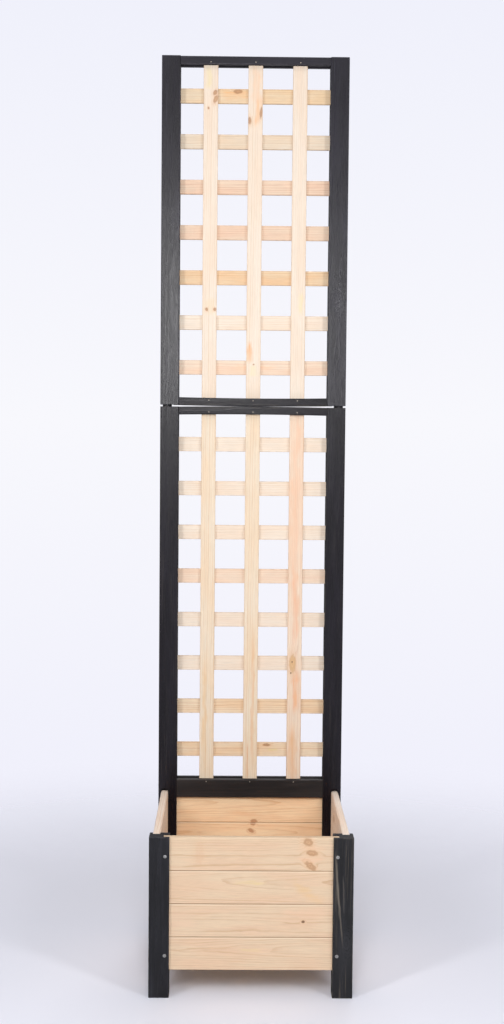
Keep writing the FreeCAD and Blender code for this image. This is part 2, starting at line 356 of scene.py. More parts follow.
@dataclass(frozen=True)
class Plank:
    """How one piece was sawn from its log: the run of the grain, where the pith lies, and its marks."""

    grain: Axis
    face: Axis
    pith: tuple[float, float] = (10.0, 60.0)
    tilt: tuple[float, float] = (0.0, 0.01)
    ring: float = 3.4
    tone: Tone = Tone.BOARD
    seed: float = 0.0
    contrast: float = 1.0
    sway: float = 4.5
    marks: Marks = Marks()
    seams: tuple[float, ...] = ()

    @property
    def side(self) -> Axis:
        """The axis across the grain within the face."""
        return next(a for a in Axis if a not in (self.grain, self.face))


@dataclass(frozen=True)
class Scatter:
    """Noise drawn out along the grain: how long and wide its features are in millimetres, and how fine it goes."""

    lengthwise: float
    crosswise: float
    detail: float = 2.0
    roughness: float = 0.5


class Figure:
    """The figure of a piece of wood as node outputs: rings, fibres, patches, knots, ends and arrises."""

    SEED_STEPS = (37.0, 53.0, 71.0)
    BROAD = Scatter(150.0, 26.0, 3.0)
    FIBRE = Scatter(26.0, 0.8, 3.0, 0.65)
    FLECK = Scatter(9.0, 0.45, 1.0)
    GROWTH = Scatter(45.0, 9.0)
    GROWTH_SHARE = 0.3
    KNOT_RIM = Scatter(7.0, 4.0, 4.0)
    KNOT_RIM_SWAY = 0.8
    KNOT_REACH = 2.6
    KNOT_PUSH = 1.1
    RING_CURVE = ((0.0, 0.12), (0.35, 0.0), (0.7, 0.3), (0.9, 1.0), (0.96, 1.0), (1.0, 0.12))
    RING_PATCHES = Scatter(90.0, 6.0, 1.0)
    YEAR_RATE = 0.31
    YEAR_SWAY = 2.4
    YEAR_STRENGTH = Vector((2.7, 1.0, 1.0))
    STREAK_SWAY = Scatter(30.0, 14.0)
    STREAK_WANDER = 1.8
    STREAK_PATCHES = Scatter(60.0, 3.0)
    END_BAND = (0.55, 0.85)

    def __init__(self, graph: Graph, plank: Plank, box: Box) -> None:
        """Lays the figure out through the piece's solid.

        Args:
            graph: The material's node tree.
            plank: How the piece was sawn.
            box: The space that the piece fills.
        """
        self.graph, self.plank, self.box = graph, plank, box
        self.place = graph.place()
        self.places = graph.split(self.place)
        self.drift = graph.vector("ADD", self.place, Vector([plank.seed * step for step in self.SEED_STEPS]))
        self.parts = graph.split(graph.vector("SUBTRACT", self.place, box.middle))
        self.broad = self.stretched(self.BROAD)
        self.fibre = self.stretched(self.FIBRE)
        self.knots = [self.knot_distance(knot) for knot in plank.marks.knots]
        self.radius = self.pith_distance()
        self.rings = self.ring_lines()

    def stretched(self, scatter: Scatter) -> Socket:
        """Noise drawn out along the grain."""
        factors = self.plank.grain.along(1 / scatter.lengthwise, 1 / scatter.crosswise)
        return self.graph.noise(self.graph.vector("MULTIPLY", self.drift, factors), scatter.detail, scatter.roughness)

    def from_line(self, along: float, across: float, lean: float) -> tuple[Socket, Socket]:
        """Distances along and across the grain from a point on a leaning line.

        Args:
            along: The point's place along the grain.
            across: Its place across the grain.
            lean: How far the line moves across for each millimetre along.

        Returns:
            The two distances, with their signs.
        """
        g, plank = self.graph, self.plank
        run = g.math("SUBTRACT", self.places[plank.grain.value], along)
        off = g.math("SUBTRACT", self.places[plank.side.value], across)
        return run, g.math("MULTIPLY_ADD", run, -lean, off)

    def knot_distance(self, knot: Knot) -> Socket:
        """Distance from a knot's middle, 1 at its rim.

        Args:
            knot: The knot.

        Returns:
            The distance, uneven round the rim.
        """
        g = self.graph
        run, off = self.from_line(knot.along, knot.across, knot.lean)
        place = g.joined(g.math("DIVIDE", run, knot.half_length), g.math("DIVIDE", off, knot.half_width))
        sway = self.KNOT_RIM_SWAY
        uneven = g.math("MULTIPLY_ADD", self.stretched(self.KNOT_RIM), sway, -sway / 2)
        return g.math("ADD", g.vector("LENGTH", place), uneven)

    def pith_distance(self) -> Socket:
        """Distance from the pith, swayed by the log's growth and pushed aside by the knots.

        Returns:
            The distance in millimetres.
        """
        g, plank = self.graph, self.plank
        length = self.parts[plank.grain.value]
        squares = 0.0
        for axis, tilt, pith in zip((plank.face, plank.side), reversed(plank.tilt), reversed(plank.pith)):
            off = g.math("SUBTRACT", g.math("MULTIPLY_ADD", length, -tilt, self.parts[axis.value]), pith)
            squares = g.math("MULTIPLY_ADD", off, off, squares)
        radius = g.math("MULTIPLY_ADD", self.broad, plank.sway, g.math("SQRT", squares))
        radius = g.math("MULTIPLY_ADD", self.stretched(self.GROWTH), self.GROWTH_SHARE * plank.sway, radius)
        for knot, distance in zip(plank.marks.knots, self.knots):
            near = g.ease(distance, 0.0, self.KNOT_REACH, 1.0, 0.0)
            push = self.KNOT_PUSH * knot.half_width * knot.kind.value[3]
            radius = g.math("MULTIPLY_ADD", near, -push, radius)
        return radius

    def ring_lines(self) -> Socket:
        """Summer wood, which darkens slowly through each ring and ends sharply.

        Returns:
            Its share from 0 to 1, stronger in some years and some places than in others.
        """
        g = self.graph
        count = g.math("DIVIDE", self.radius, self.plank.ring)
        year = g.joined(g.math("MULTIPLY", count, self.YEAR_RATE), self.plank.seed)
        ring = g.math("FRACT", g.math("MULTIPLY_ADD", g.noise(year, 1.0), self.YEAR_SWAY, count))
        line = g.ramp(ring, [(place, (level, level, level, 1.0)) for place, level in self.RING_CURVE])
        strength = g.ease(g.noise(g.vector("MULTIPLY", year, self.YEAR_STRENGTH), 0.0), 0.3, 0.7, 0.4, 1.0)
        patchy = g.ease(self.stretched(self.RING_PATCHES), 0.25, 0.75, 0.45, 1.0)
        return g.math("MULTIPLY", g.math("MULTIPLY", line, patchy), strength)

    def streak(self, streak: Streak) -> Socket:
        """How strongly a streak covers the wood: it wanders, and tapers to its ends.

        Args:
            streak: The streak.

        Returns:
            The share from 0 to the streak's strength.
        """
        g, half, reach = self.graph, streak.half_width, (streak.end - streak.start) / 2
        run, off = self.from_line((streak.start + streak.end) / 2, streak.across, streak.lean)
        wander = self.STREAK_WANDER * half
        off = g.math("ADD", off, g.math("MULTIPLY_ADD", self.stretched(self.STREAK_SWAY), wander, -wander / 2))
        band = g.ease(g.math("ABSOLUTE", off), 0.1 * half, half, 1.0, 0.0)
        taper = g.ease(g.math("ABSOLUTE", run), 0.45 * reach, reach, 1.0, 0.0)
        patchy = g.ease(self.stretched(self.STREAK_PATCHES), 0.3, 0.7, 0.45, 1.0)
        return g.math("MULTIPLY", g.math("MULTIPLY", band, taper), g.math("MULTIPLY", patchy, streak.strength))

    def ends(self) -> Socket:
        """Tells faces across the grain from the others.

        Returns:
            1 on faces across the grain, 0 on the others.
        """
        normal = self.graph.add("ShaderNodeTexCoord").outputs["Normal"]
        turn = self.graph.vector("DOT_PRODUCT", normal, self.plank.grain.unit())
        return self.graph.ease(self.graph.math("ABSOLUTE", turn), *self.END_BAND)

    def arrises(self, reach: float) -> Socket:
        """1 on the edges of the piece, fading to 0 over a reach in millimetres.

        Args:
            reach: How far the mask runs in from an edge.

        Returns:
            The mask.
        """
        g, near = self.graph, []
        for part, half in zip(self.parts, self.box.half):
            near.append(g.ease(g.math("ABSOLUTE", part), half - reach, half))
        x, y, z = near
        pairs = [g.math("MULTIPLY", a, b) for a, b in ((x, y), (y, z), (x, z))]
        return g.math("MAXIMUM", pairs[0], g.math("MAXIMUM", pairs[1], pairs[2]))


class WoodFinish:
    """What the finishes of wood share: raised fibres are rougher, and summer wood is smoother."""

    FIBRE_BAND = (0.2, 0.8)
    EDGE_ON = 0.85

    roughness: float
    roughness_spread: float
    ring_polish: float
    heights: Span
    shine: float
    relief: float

    def paint(self, figure: Figure) -> Socket:
        """The colour of the wood, which each finish mixes for itself."""
        raise NotImplementedError

    def material(self, name: str, plank: Plank, box: Box) -> bpy.types.Material:
        """Makes the finish for one piece.

        Args:
            name: The material's name.
            plank: How the piece was sawn.
            box: The space that the piece fills.

        Returns:
            The material.
        """
        g = Graph(bpy.data.materials.new(name))
        figure = Figure(g, plank, box)
        fibres = g.ease(figure.fibre, *self.FIBRE_BAND, self.roughness, self.roughness + self.roughness_spread)
        rough = g.glancing(g.math("MULTIPLY_ADD", figure.rings, -self.ring_polish, fibres), self.EDGE_ON)
        rings, hairs = self.heights
        height = g.math("MULTIPLY_ADD", figure.rings, rings, g.math("MULTIPLY", figure.fibre, hairs))
        return g.finish(
            Base_Color=self.paint(figure), Roughness=rough, Specular_IOR_Level=self.shine,
            Normal=g.bump(height, self.relief),
        )


@dataclass(frozen=True)
class PineFinish(WoodFinish):
    """Bare planed pine."""

    roughness: float = 0.52
    roughness_spread: float = 0.12
    ring_polish: float = 0.08
    heights: Span = (0.6, 0.5)
    shine: float = 0.3
    relief: float = 0.12
    blush_band: Span = (0.35, 0.68)
    blush_share: float = 0.7
    ring_share: float = 0.85
    fibre_shade: Span = (0.9, 1.06)
    duct_band: Span = (0.69, 0.8)
    duct_share: float = 0.35
    end_colour: str = "b98b5c"
    end_share: float = 0.55
    halo_colour: str = "dfae82"
    halo_share: float = 0.45
    heart_rings: float = 17.0
    pith_share: float = 0.5
    # Painted shade in the joint of two boards, and a painted highlight just under it.
    seam_shade_colour: str = "8d6540"
    seam_shade_share: float = 0.7
    seam_highlight_share: float = 0.55
    # Painted highlight along the arrises, broken in patches; a darker colour here paints shade along the edges instead,
    # as on the laths.
    arris_painted_light_colour: str = "f6e6d0"
    arris_reach: float = 1.6
    arris_share: float = 0.4
    arris_light_patches: Scatter = Scatter(40.0, 5.0)

    def paint(self, figure: Figure) -> Socket:
        """Paints the wood.

        Args:
            figure: The figure of the piece.

        Returns:
            Its colour.
        """
        g, plank = figure.graph, figure.plank
        pale, line, blush = plank.tone.value
        colour = g.tint(pale, g.ease(figure.broad, *self.blush_band), self.blush_share, blush)
        colour = g.tint(colour, figure.rings, self.ring_share * plank.contrast, line)
        shade = g.ease(figure.fibre, *self.FIBRE_BAND, *self.fibre_shade)
        colour = g.mix(1.0, colour, g.joined(shade, shade, shade), "MULTIPLY")
        colour = g.tint(colour, g.ease(figure.stretched(figure.FLECK), *self.duct_band), self.duct_share, line)
        for streak in plank.marks.streaks:
            colour = g.mix(figure.streak(streak), colour, streak.colour)
        for knot, distance in zip(plank.marks.knots, figure.knots):
            colour = self.knotted(g, colour, knot, distance)
        colour = g.tint(colour, figure.ends(), self.end_share, self.end_colour)
        # Painted shade in each joint, with a painted highlight under it.
        for seam in plank.seams:
            colour = self.seamed(figure, colour, seam)
        # Painted highlight along the arrises, broken in patches; painted shade where the colour is darker, as on the
        # laths.
        wear_and_painted_light = g.ease(figure.stretched(self.arris_light_patches), 0.3, 0.6, 0.5)
        eased = g.math("MULTIPLY", figure.arrises(self.arris_reach), wear_and_painted_light)
        return g.tint(colour, eased, self.arris_share, self.arris_painted_light_colour)

    def seamed(self, figure: Figure, colour: Socket, height: float) -> Socket:
        """Paints shade into the joint of two boards, and a painted highlight on the arris under it.

        Args:
            figure: The figure of the wood.
            colour: The wood's colour so far.
            height: Where the joint is, across the grain.

        Returns:
            The colour with the joint's painted shade and highlight.
        """
        g = figure.graph
        below = g.math("SUBTRACT", height, figure.places[figure.plank.side.value])
        # Painted shade in the joint; painted highlight a little below it.
        dark = g.ease(g.math("ABSOLUTE", below), 0.4, 1.3, self.seam_shade_share, 0.0)
        pale = g.math("MULTIPLY", g.ease(below, 1.2, 1.7), g.ease(below, 2.0, 3.6, self.seam_highlight_share, 0.0))
        return g.mix(dark, g.mix(pale, colour, self.arris_painted_light_colour), self.seam_shade_colour)

    def knotted(self, g: Graph, colour: Socket, knot: Knot, distance: Socket) -> Socket:
        """Paints one knot: a warm halo, a ringed heart that darkens outwards, and a small pith.

        Args:
            g: The material's node tree.
            colour: The wood's colour so far.
            knot: The knot.
            distance: Distance from its middle, 1 at its rim.

        Returns:
            The colour with the knot.
        """
        heart, rim, cover, _ = knot.kind.value
        colour = g.mix(g.ease(distance, 0.7, 2.2, self.halo_share * cover, 0.0), colour, self.halo_colour)
        share = g.ripple(distance, self.heart_rings, 0.13, g.ease(distance, 0.1, 0.95, 0.15, 0.8))
        colour = g.mix(g.ease(distance, 0.6, 1.15, cover, 0.0), colour, g.mix(share, heart, rim))
        return g.mix(g.ease(distance, 0.02, 0.25, self.pith_share * cover, 0.0), colour, rim)


@dataclass(frozen=True)
class StainFinish(WoodFinish):
    """Semi-opaque black stain over pine: the grain shows through, and arrises are worn paler."""

    black: str = "0f0c12"
    grey: str = "29262e"
    bare: str = "4a443f"
    roughness: float = 0.23
    shine: float = 0.21
    relief: float = 0.16
    roughness_spread: float = 0.14
    ring_polish: float = 0.1
    heights: Span = (0.5, 0.6)
    cloud: float = 0.35
    cloud_band: Span = (0.35, 0.7)
    thin: float = 0.45
    thin_lines: Scatter = Scatter(120.0, 1.1, 3.0, 0.6)
    thin_patches: Scatter = Scatter(160.0, 12.0, 1.0)
    # In the stain this share is real wear: the arrises are rubbed paler.
    wear_and_painted_light: float = 0.35
    wear_reach: float = 3.0
    wear_patches: Scatter = Scatter(30.0, 6.0, 3.0)
    knot_rings: float = 11.0

    def paint(self, figure: Figure) -> Socket:
        """Paints the wood.

        Args:
            figure: The figure of the piece.

        Returns:
            Its colour.
        """
        g, plank = figure.graph, figure.plank
        colour = g.tint(self.black, g.ease(figure.broad, *self.cloud_band), self.cloud, self.grey)
        colour = g.tint(colour, figure.rings, self.cloud, self.grey)
        lines = g.ease(figure.stretched(self.thin_lines), 0.52, 0.72)
        patches = g.ease(figure.stretched(self.thin_patches), 0.45, 0.65)
        colour = g.tint(colour, g.math("MULTIPLY", lines, patches), self.thin, self.bare)
        patches = g.ease(figure.stretched(self.wear_patches), 0.4, 0.62)
        worn = g.math("MULTIPLY", figure.arrises(self.wear_reach), patches)
        colour = g.tint(colour, worn, self.wear_and_painted_light, self.bare)
        for distance in figure.knots:
            near = g.ease(distance, 0.4, 2.2, 1.0, 0.0)
            share = g.math("MULTIPLY", near, g.ripple(distance, self.knot_rings, 0.15, 0.2))
            colour = g.mix(share, colour, self.grey)
        for streak in plank.marks.streaks:
            colour = g.mix(figure.streak(streak), colour, streak.colour)
        return colour


@dataclass(frozen=True)
class ZincFinish:
    """Bright zinc plate with fine scratches and a faint yellow cast."""

    bright: str = "b3b3b4"
    dull: str = "8d8a82"
    roughness: float = 0.36
    roughness_spread: float = 0.2
    scratches: Point = (9.0, 1.3, 9.0)
    relief: float = 0.02

    def material(self, name: str) -> bpy.types.Material:
        """Makes the finish.

        Args:
            name: The material's name.

        Returns:
            The material.
        """
        g = Graph(bpy.data.materials.new(name))
        place = g.place()
        colour = g.mix(g.ease(g.noise(place, 3.0), 0.35, 0.7), self.bright, self.dull)
        scratch = g.noise(g.vector("MULTIPLY", place, Vector(self.scratches)), 2.0)
        rough = g.ease(scratch, 0.3, 0.7, self.roughness, self.roughness + self.roughness_spread)
        return g.finish(Base_Color=colour, Metallic=1.0, Roughness=rough, Normal=g.bump(scratch, self.relief))


def beside(sign: float, near: float, far: float) -> Span:
    """The span between two distances from the middle, on the side that a sign gives."""
    low, high = sorted((sign * near, sign * far))
    return low, high


def block(*spans: Span) -> Shape:
    """A block that fills a span along each axis.

    Args:
        *spans: Its two ends along X, Y and Z.

    Returns:
        Its shape.
    """
    low, high = (Vector(ends) for ends in zip(*spans))
    shape = bmesh.new()
    matrix = Matrix.Translation((low + high) / 2) @ Matrix.Diagonal((*(high - low), 1.0))
    bmesh.ops.create_cube(shape, size=1.0, matrix=matrix)
    return shape


def edges_along(shape: Shape, axis: Axis) -> list[bmesh.types.BMEdge]:
    """Finds the edges of a shape that run along an axis.

    Args:
        shape: The shape.
        axis: The axis.

    Returns:
        The edges.
    """
    found = []
    for edge in shape.edges:
        run = (edge.verts[1].co - edge.verts[0].co).normalized()
        if abs(run.dot(axis.unit())) > PARALLEL:
            found.append(edge)
    return found


def rounded(shape: Shape, edges: list[bmesh.types.BMEdge], radius: float, segments: int = 4) -> None:
    """Rounds edges of a shape.

    Args:
        shape: The shape.
        edges: Its edges to round.
        radius: How far the rounding runs from each edge.
        segments: How many faces it is made of.
    """
    bmesh.ops.bevel(
        shape, geom=edges, offset=radius, offset_type="OFFSET", segments=segments, profile=0.5,
        affect="EDGES", material=-1,
    )


def planed(box: Box, grain: Axis, arris: float, end: float) -> Shape:
    """A planed length of timber.

    Args:
        box: The space that it fills.
        grain: The way it runs.
        arris: The radius of its four long edges.
        end: The width of the bevel round its two ends.

    Returns:
        Its shape.
    """
    shape = block(*zip(box.low, box.high))
    rounded(shape, edges_along(shape, grain), arris)
    if end:
        tips = [f for f in shape.faces if abs(f.normal.dot(grain.unit())) > PARALLEL]
        rims = {edge for face in tips for edge in face.edges}
        rounded(shape, list(rims), end, 2)
    return shape


def drawn_out(shape: Shape, way: Vector) -> Shape:
    """Draws a single face out into a solid.

    Args:
        shape: The shape, which is the face alone.
        way: How far the face is drawn, and which way.

    Returns:
        The same shape, closed.
    """
    grown = bmesh.ops.extrude_face_region(shape, geom=list(shape.faces))
    moved = [v for v in grown["geom"] if isinstance(v, bmesh.types.BMVert)]
    bmesh.ops.translate(shape, verts=moved, vec=way)
    bmesh.ops.recalc_face_normals(shape, faces=shape.faces)
    return shape


def slot_cutter(middle: Vector, width: float, stops: Span, reach: float, axis: Axis) -> Shape:
    """What a round cutter takes out along an upright groove: half circles at both stops.

    Args:
        middle: A point in the mouth of the groove, on its middle line.
        width: The groove's width.
        stops: Heights of the middles of its lower and upper half circles.
        reach: How deep it cuts along the axis, with its sign.
        axis: The way it cuts.

    Returns:
        The cutter's shape.
    """
    low, high = stops
    way = axis.unit() * math.copysign(1.0, reach)
    shape = bmesh.new()
    bmesh.ops.create_circle(shape, cap_ends=True, segments=36, radius=width / 2)
    turn = Axis.Z.unit().rotation_difference(axis.unit()).to_matrix()
    bmesh.ops.rotate(shape, verts=shape.verts, cent=(0, 0, 0), matrix=turn)
    upper = [v for v in shape.verts if v.co.z > WELD]
    bmesh.ops.translate(shape, verts=shape.verts, vec=(middle.x, middle.y, low))
    bmesh.ops.translate(shape, verts=upper, vec=(0, 0, high - low))
    bmesh.ops.translate(shape, verts=shape.verts, vec=-RUN_OUT * way)
    return drawn_out(shape, (abs(reach) + RUN_OUT) * way)


def turned(profile: list[Span], steps: int) -> Shape:
    """A round shape about +Z.

    Args:
        profile: The (radius, height) points that it is spun from, the first and last on the axis.
        steps: How many steps make the full turn.

    Returns:
        Its shape.
    """
    shape = bmesh.new()
    points = [shape.verts.new((radius, 0.0, height)) for radius, height in profile]
    edges = [shape.edges.new(pair) for pair in zip(points, points[1:])]
    bmesh.ops.spin(
        shape, geom=points + edges, cent=(0, 0, 0), axis=(0, 0, 1), angle=math.tau, steps=steps, use_merge=True
    )
    bmesh.ops.remove_doubles(shape, verts=shape.verts, dist=WELD)
    bmesh.ops.recalc_face_normals(shape, faces=shape.faces)
    return shape


def aim(point: Point | Vector, way: Vector, spin: float = 0.0) -> Matrix:
    """Where a shape made along +Z goes.

    Args:
        point: Where its origin goes.
        way: Where its +Z points.
        spin: How far it is turned about its own length, in degrees.

    Returns:
        The move as a matrix.
    """
    turn = Axis.Z.unit().rotation_difference(way).to_matrix().to_4x4()
    return Matrix.Translation(point) @ turn @ Matrix.Rotation(math.radians(spin), 4, "Z")


def aimed(shape: Shape, point: Point | Vector, way: Vector) -> Shape:
    """Turns a shape made along +Z to a direction and sets it at a point."""
    bmesh.ops.transform(shape, matrix=aim(point, way), verts=shape.verts)
    return shape


def copies(single: Shape, places: list[Matrix]) -> Shape:
    """Sets copies of a shape at places, and frees the shape.

    Args:
        single: The shape.
        places: Where each copy goes.

    Returns:
        All the copies in one shape.
    """
    pattern = bpy.data.meshes.new("pattern")
    single.to_mesh(pattern)
    single.free()
    shape = bmesh.new()
    for place in places:
        before = len(shape.verts)
        shape.from_mesh(pattern)
        shape.verts.ensure_lookup_table()
        bmesh.ops.transform(shape, matrix=place, verts=shape.verts[before:])
    bpy.data.meshes.remove(pattern)
    return shape


def as_object(name: str, shape: Shape) -> bpy.types.Object:
    """Turns a shape into an object of the scene, and frees the shape.

    Args:
        name: The object's name.
        shape: The shape.

    Returns:
        The object.
    """
    mesh = bpy.data.meshes.new(name)
    shape.to_mesh(mesh)
    shape.free()
    thing = bpy.data.objects.new(name, mesh)
    bpy.context.scene.collection.objects.link(thing)
    return thing


def carved(stock: Shape, cutters: list[Shape]) -> Shape:
    """Takes closed shapes out of a stock.

    Args:
        stock: The shape to cut.
        cutters: The shapes to take out.

    Returns:
        What is left.
    """
    work = as_object("stock", stock)
    tools = [as_object("cutter", cutter) for cutter in cutters]
    for tool in tools:
        cut = work.modifiers.new("cut", "BOOLEAN")
        cut.operation, cut.solver, cut.object = "DIFFERENCE", "EXACT", tool
    bpy.context.view_layer.update()
    result = bmesh.new()
    result.from_object(work, bpy.context.evaluated_depsgraph_get())
    for thing in (work, *tools):
        mesh = thing.data
        bpy.data.objects.remove(thing)
        bpy.data.meshes.remove(mesh)
    bmesh.ops.remove_doubles(result, verts=result.verts, dist=WELD)
    return result


@dataclass
class Maker:
    """Finishes shapes into pieces that stand for CAD nodes."""

    smooth_angle: float = 32.0
    made: int = 0

    def publish(
        self, node: str, kind: str, shape: Shape, material: bpy.types.Material, body: Body, slot: Slot
    ) -> bpy.types.Object:
        """Finishes a shape as the visible piece of a CAD node.

        Args:
            node: The CAD node.
            kind: The end of the piece's name.
            shape: Its shape in millimetres.
            material: Its finish.
            body: The body that it rides on.
            slot: The record's slot that it would take its finish from; not used.

        Returns:
            The piece.
        """
        bmesh.ops.scale(shape, vec=(MM, MM, MM), verts=shape.verts)
        piece = as_object(f"{node}_{kind}", shape)
        piece.data.shade_smooth()
        piece.data.set_sharp_from_angle(angle=math.radians(self.smooth_angle))
        even = piece.modifiers.new("even_shading", "WEIGHTED_NORMAL")
        even.keep_sharp = True
        piece.data.materials.append(material)
        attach(piece, body.value)
        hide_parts(node)
        self.made += 1
        LOG.info("%s: %d faces, on %s", piece.name, len(piece.data.polygons), body.value)
        return piece


@dataclass(frozen=True)
class Upright:
    """An upright: its CAD node, its side (-1 for left and 1 for right), and the body that it rides on."""

    node: str
    side: float
    body: Body = Body.PLANTER

    @property
    def box(self) -> Box:
        """The space that it fills."""
        return Box.of_node(self.node)


@dataclass
class Uprights:
    """The front posts, the rear stiles of both panels and the dowels between them."""

    maker: Maker
    screws: list[Spot]
    arris: float = 2.0
    end_bevel: float = 0.7
    groove_width: float = 15.2
    groove_lip: float = 6.0
    front_groove: float = 12.0
    side_groove: float = 10.0
    dowel_inset: float = 14.5
    dowel_play: float = 0.1
    dowel_ease: float = 1.2
    bore_mouth: float = 5.0
    upper_bore: float = 36.0
    sink_radius: float = 3.45
    sink_flare: float = 0.6
    sink_rim: float = 0.35
    sink_depth: float = 2.5
    shank_radius: float = 1.8
    hole_depth: float = 13.0
    head_reach: float = 0.6

    def build(self) -> None:
        """Builds every upright and dowel."""
        for name, side in (("left", -1.0), ("right", 1.0)):
            for upright, cutters in (
                (Upright(f"front_post_{name}", side), self.front_post),
                (Upright(f"lower_stile_{name}", side), self.rear_stile),
                (Upright(f"upper_stile_{name}", side, Body.UPPER), self.upper_stile),
            ):
                stock = planed(upright.box, Axis.Z, self.arris, self.end_bevel)
                self.dress(upright, carved(stock, cutters(upright)))
            self.dowel(Upright(f"dowel_{name}", side))

    def dress(self, upright: Upright, shape: Shape) -> None:
        """Gives an upright its stain and publishes it.

        Args:
            upright: The upright.
            shape: Its shape.
        """
        node, box = upright.node, upright.box
        seed = box.seed(0.013, 0.003, 0.007)
        pith = 9.0 + 4.0 * math.sin(seed), 30.0
        plank = Plank(Axis.Z, Axis.Y, pith, (0.004, 0.006), 3.0, seed=seed, marks=STAIN_MARKS.get(node, Marks()))
        material = STAINS.get(node, StainFinish()).material(f"stain_{node}", plank, box)
        self.maker.publish(node, "timber", shape, material, upright.body, Slot.STAIN)

    def side_channel(self, upright: Upright, mouth: float, reach: float, stops: Span) -> Shape:
        """The groove for the side boards, which runs in from the inner face of the upright.

        Args:
            upright: The upright.
            mouth: Where the groove opens along Y.
            reach: How deep it goes from there, with its sign.
            stops: Heights of its lower and upper stop.

        Returns:
            The cutter's shape.
        """
        x = upright.side * (upright.box.outer - self.groove_lip - self.groove_width / 2)
        return slot_cutter(Vector((x, mouth, 0.0)), self.groove_width, stops, reach, Axis.Y)

    def front_channel(self, upright: Upright, y: float, stops: Span) -> Shape:
        """The groove in the face that looks along the front, for boards, tenons and laths."""
        mouth = Vector((upright.side * upright.box.inner, y, 0.0))
        return slot_cutter(mouth, self.groove_width, stops, upright.side * self.front_groove, Axis.X)

    def screw_holes(self, upright: Upright) -> list[Shape]:
        """Countersunk holes of the screws whose heads lie in an upright.

        Args:
            upright: The upright.

        Returns:
            The cutters' shapes.
        """
        rim, shank, depth = self.sink_rim, self.shank_radius, self.hole_depth
        profile = [
            (0.0, -RUN_OUT), (self.sink_radius + self.sink_flare, -RUN_OUT), (self.sink_radius, rim),
            (shank, self.sink_depth + rim), (shank, depth), (0.0, depth),
        ]
        heads = [spot for spot in self.screws if upright.box.holds(spot[0], self.head_reach)]
        return [aimed(turned(profile, 24), *spot) for spot in heads]

    def dowel_bore(self, stile: Upright, low: float, high: float) -> Shape:
        """The bore for a dowel.

        Args:
            stile: The stile that it is bored in.
            low: Where the cutter starts.
            high: Where it ends.

        Returns:
            The cutter's shape.
        """
        radius = Box.of_node("dowel_right").half.x + self.dowel_play
        profile = [(0.0, low), (radius, low), (radius, high), (0.0, high)]
        point = stile.side * (stile.box.outer - self.dowel_inset), stile.box.middle.y, 0.0
        return aimed(turned(profile, 40), point, Axis.Z.unit())

    def front_post(self, post: Upright) -> list[Shape]:
        """What is cut from a front post: both grooves run out at its top and stop round at the lowest board.

        Args:
            post: The post.

        Returns:
            The cutters' shapes.
        """
        box = post.box
        stops = Box.of_node("front_board_4").low.z, box.high.z + self.groove_width
        return [
            self.front_channel(post, box.low.y + self.groove_lip + self.groove_width / 2, stops),
            self.side_channel(post, box.high.y, -self.side_groove, stops),
            *self.screw_holes(post),
        ]

    def rear_stile(self, stile: Upright) -> list[Shape]:
        """What is cut from a rear stile, which stands from the ground to the joint of the panels.

        Args:
            stile: The stile.

        Returns:
            The cutters' shapes.
        """
        box = stile.box
        back = Box.of_node("back_board_4").low.z, box.high.z + self.groove_width
        boards = Box.of_node("left_board_4").low.z, Box.of_node("left_board_1").high.z
        return [
            self.front_channel(stile, box.middle.y, back),
            self.side_channel(stile, box.low.y, self.side_groove, boards),
            self.dowel_bore(stile, Box.of_node("dowel_right").low.z, box.high.z + self.bore_mouth),
            *self.screw_holes(stile),
        ]

    def upper_stile(self, stile: Upright) -> list[Shape]:
        """What is cut from a stile of the upper panel, which is bored from below for its dowel.

        Args:
            stile: The stile.

        Returns:
            The cutters' shapes.
        """
        box = stile.box
        return [
            self.front_channel(stile, box.middle.y, (box.low.z - self.groove_width, box.high.z + self.groove_width)),
            self.dowel_bore(stile, box.low.z - self.bore_mouth, box.low.z + self.upper_bore),
        ]

    def dowel(self, upright: Upright) -> None:
        """A dowel with eased ends.

        Args:
            upright: The dowel.
        """
        box, ease = upright.box, self.dowel_ease
        radius, (low, high) = box.half.x, (box.low.z, box.high.z)
        profile = [
            (0.0, low), (radius - ease, low), (radius, low + ease),
            (radius, high - ease), (radius - ease, high), (0.0, high),
        ]
        self.dress(upright, aimed(turned(profile, 40), (box.middle.x, box.middle.y, 0.0), Axis.Z.unit()))


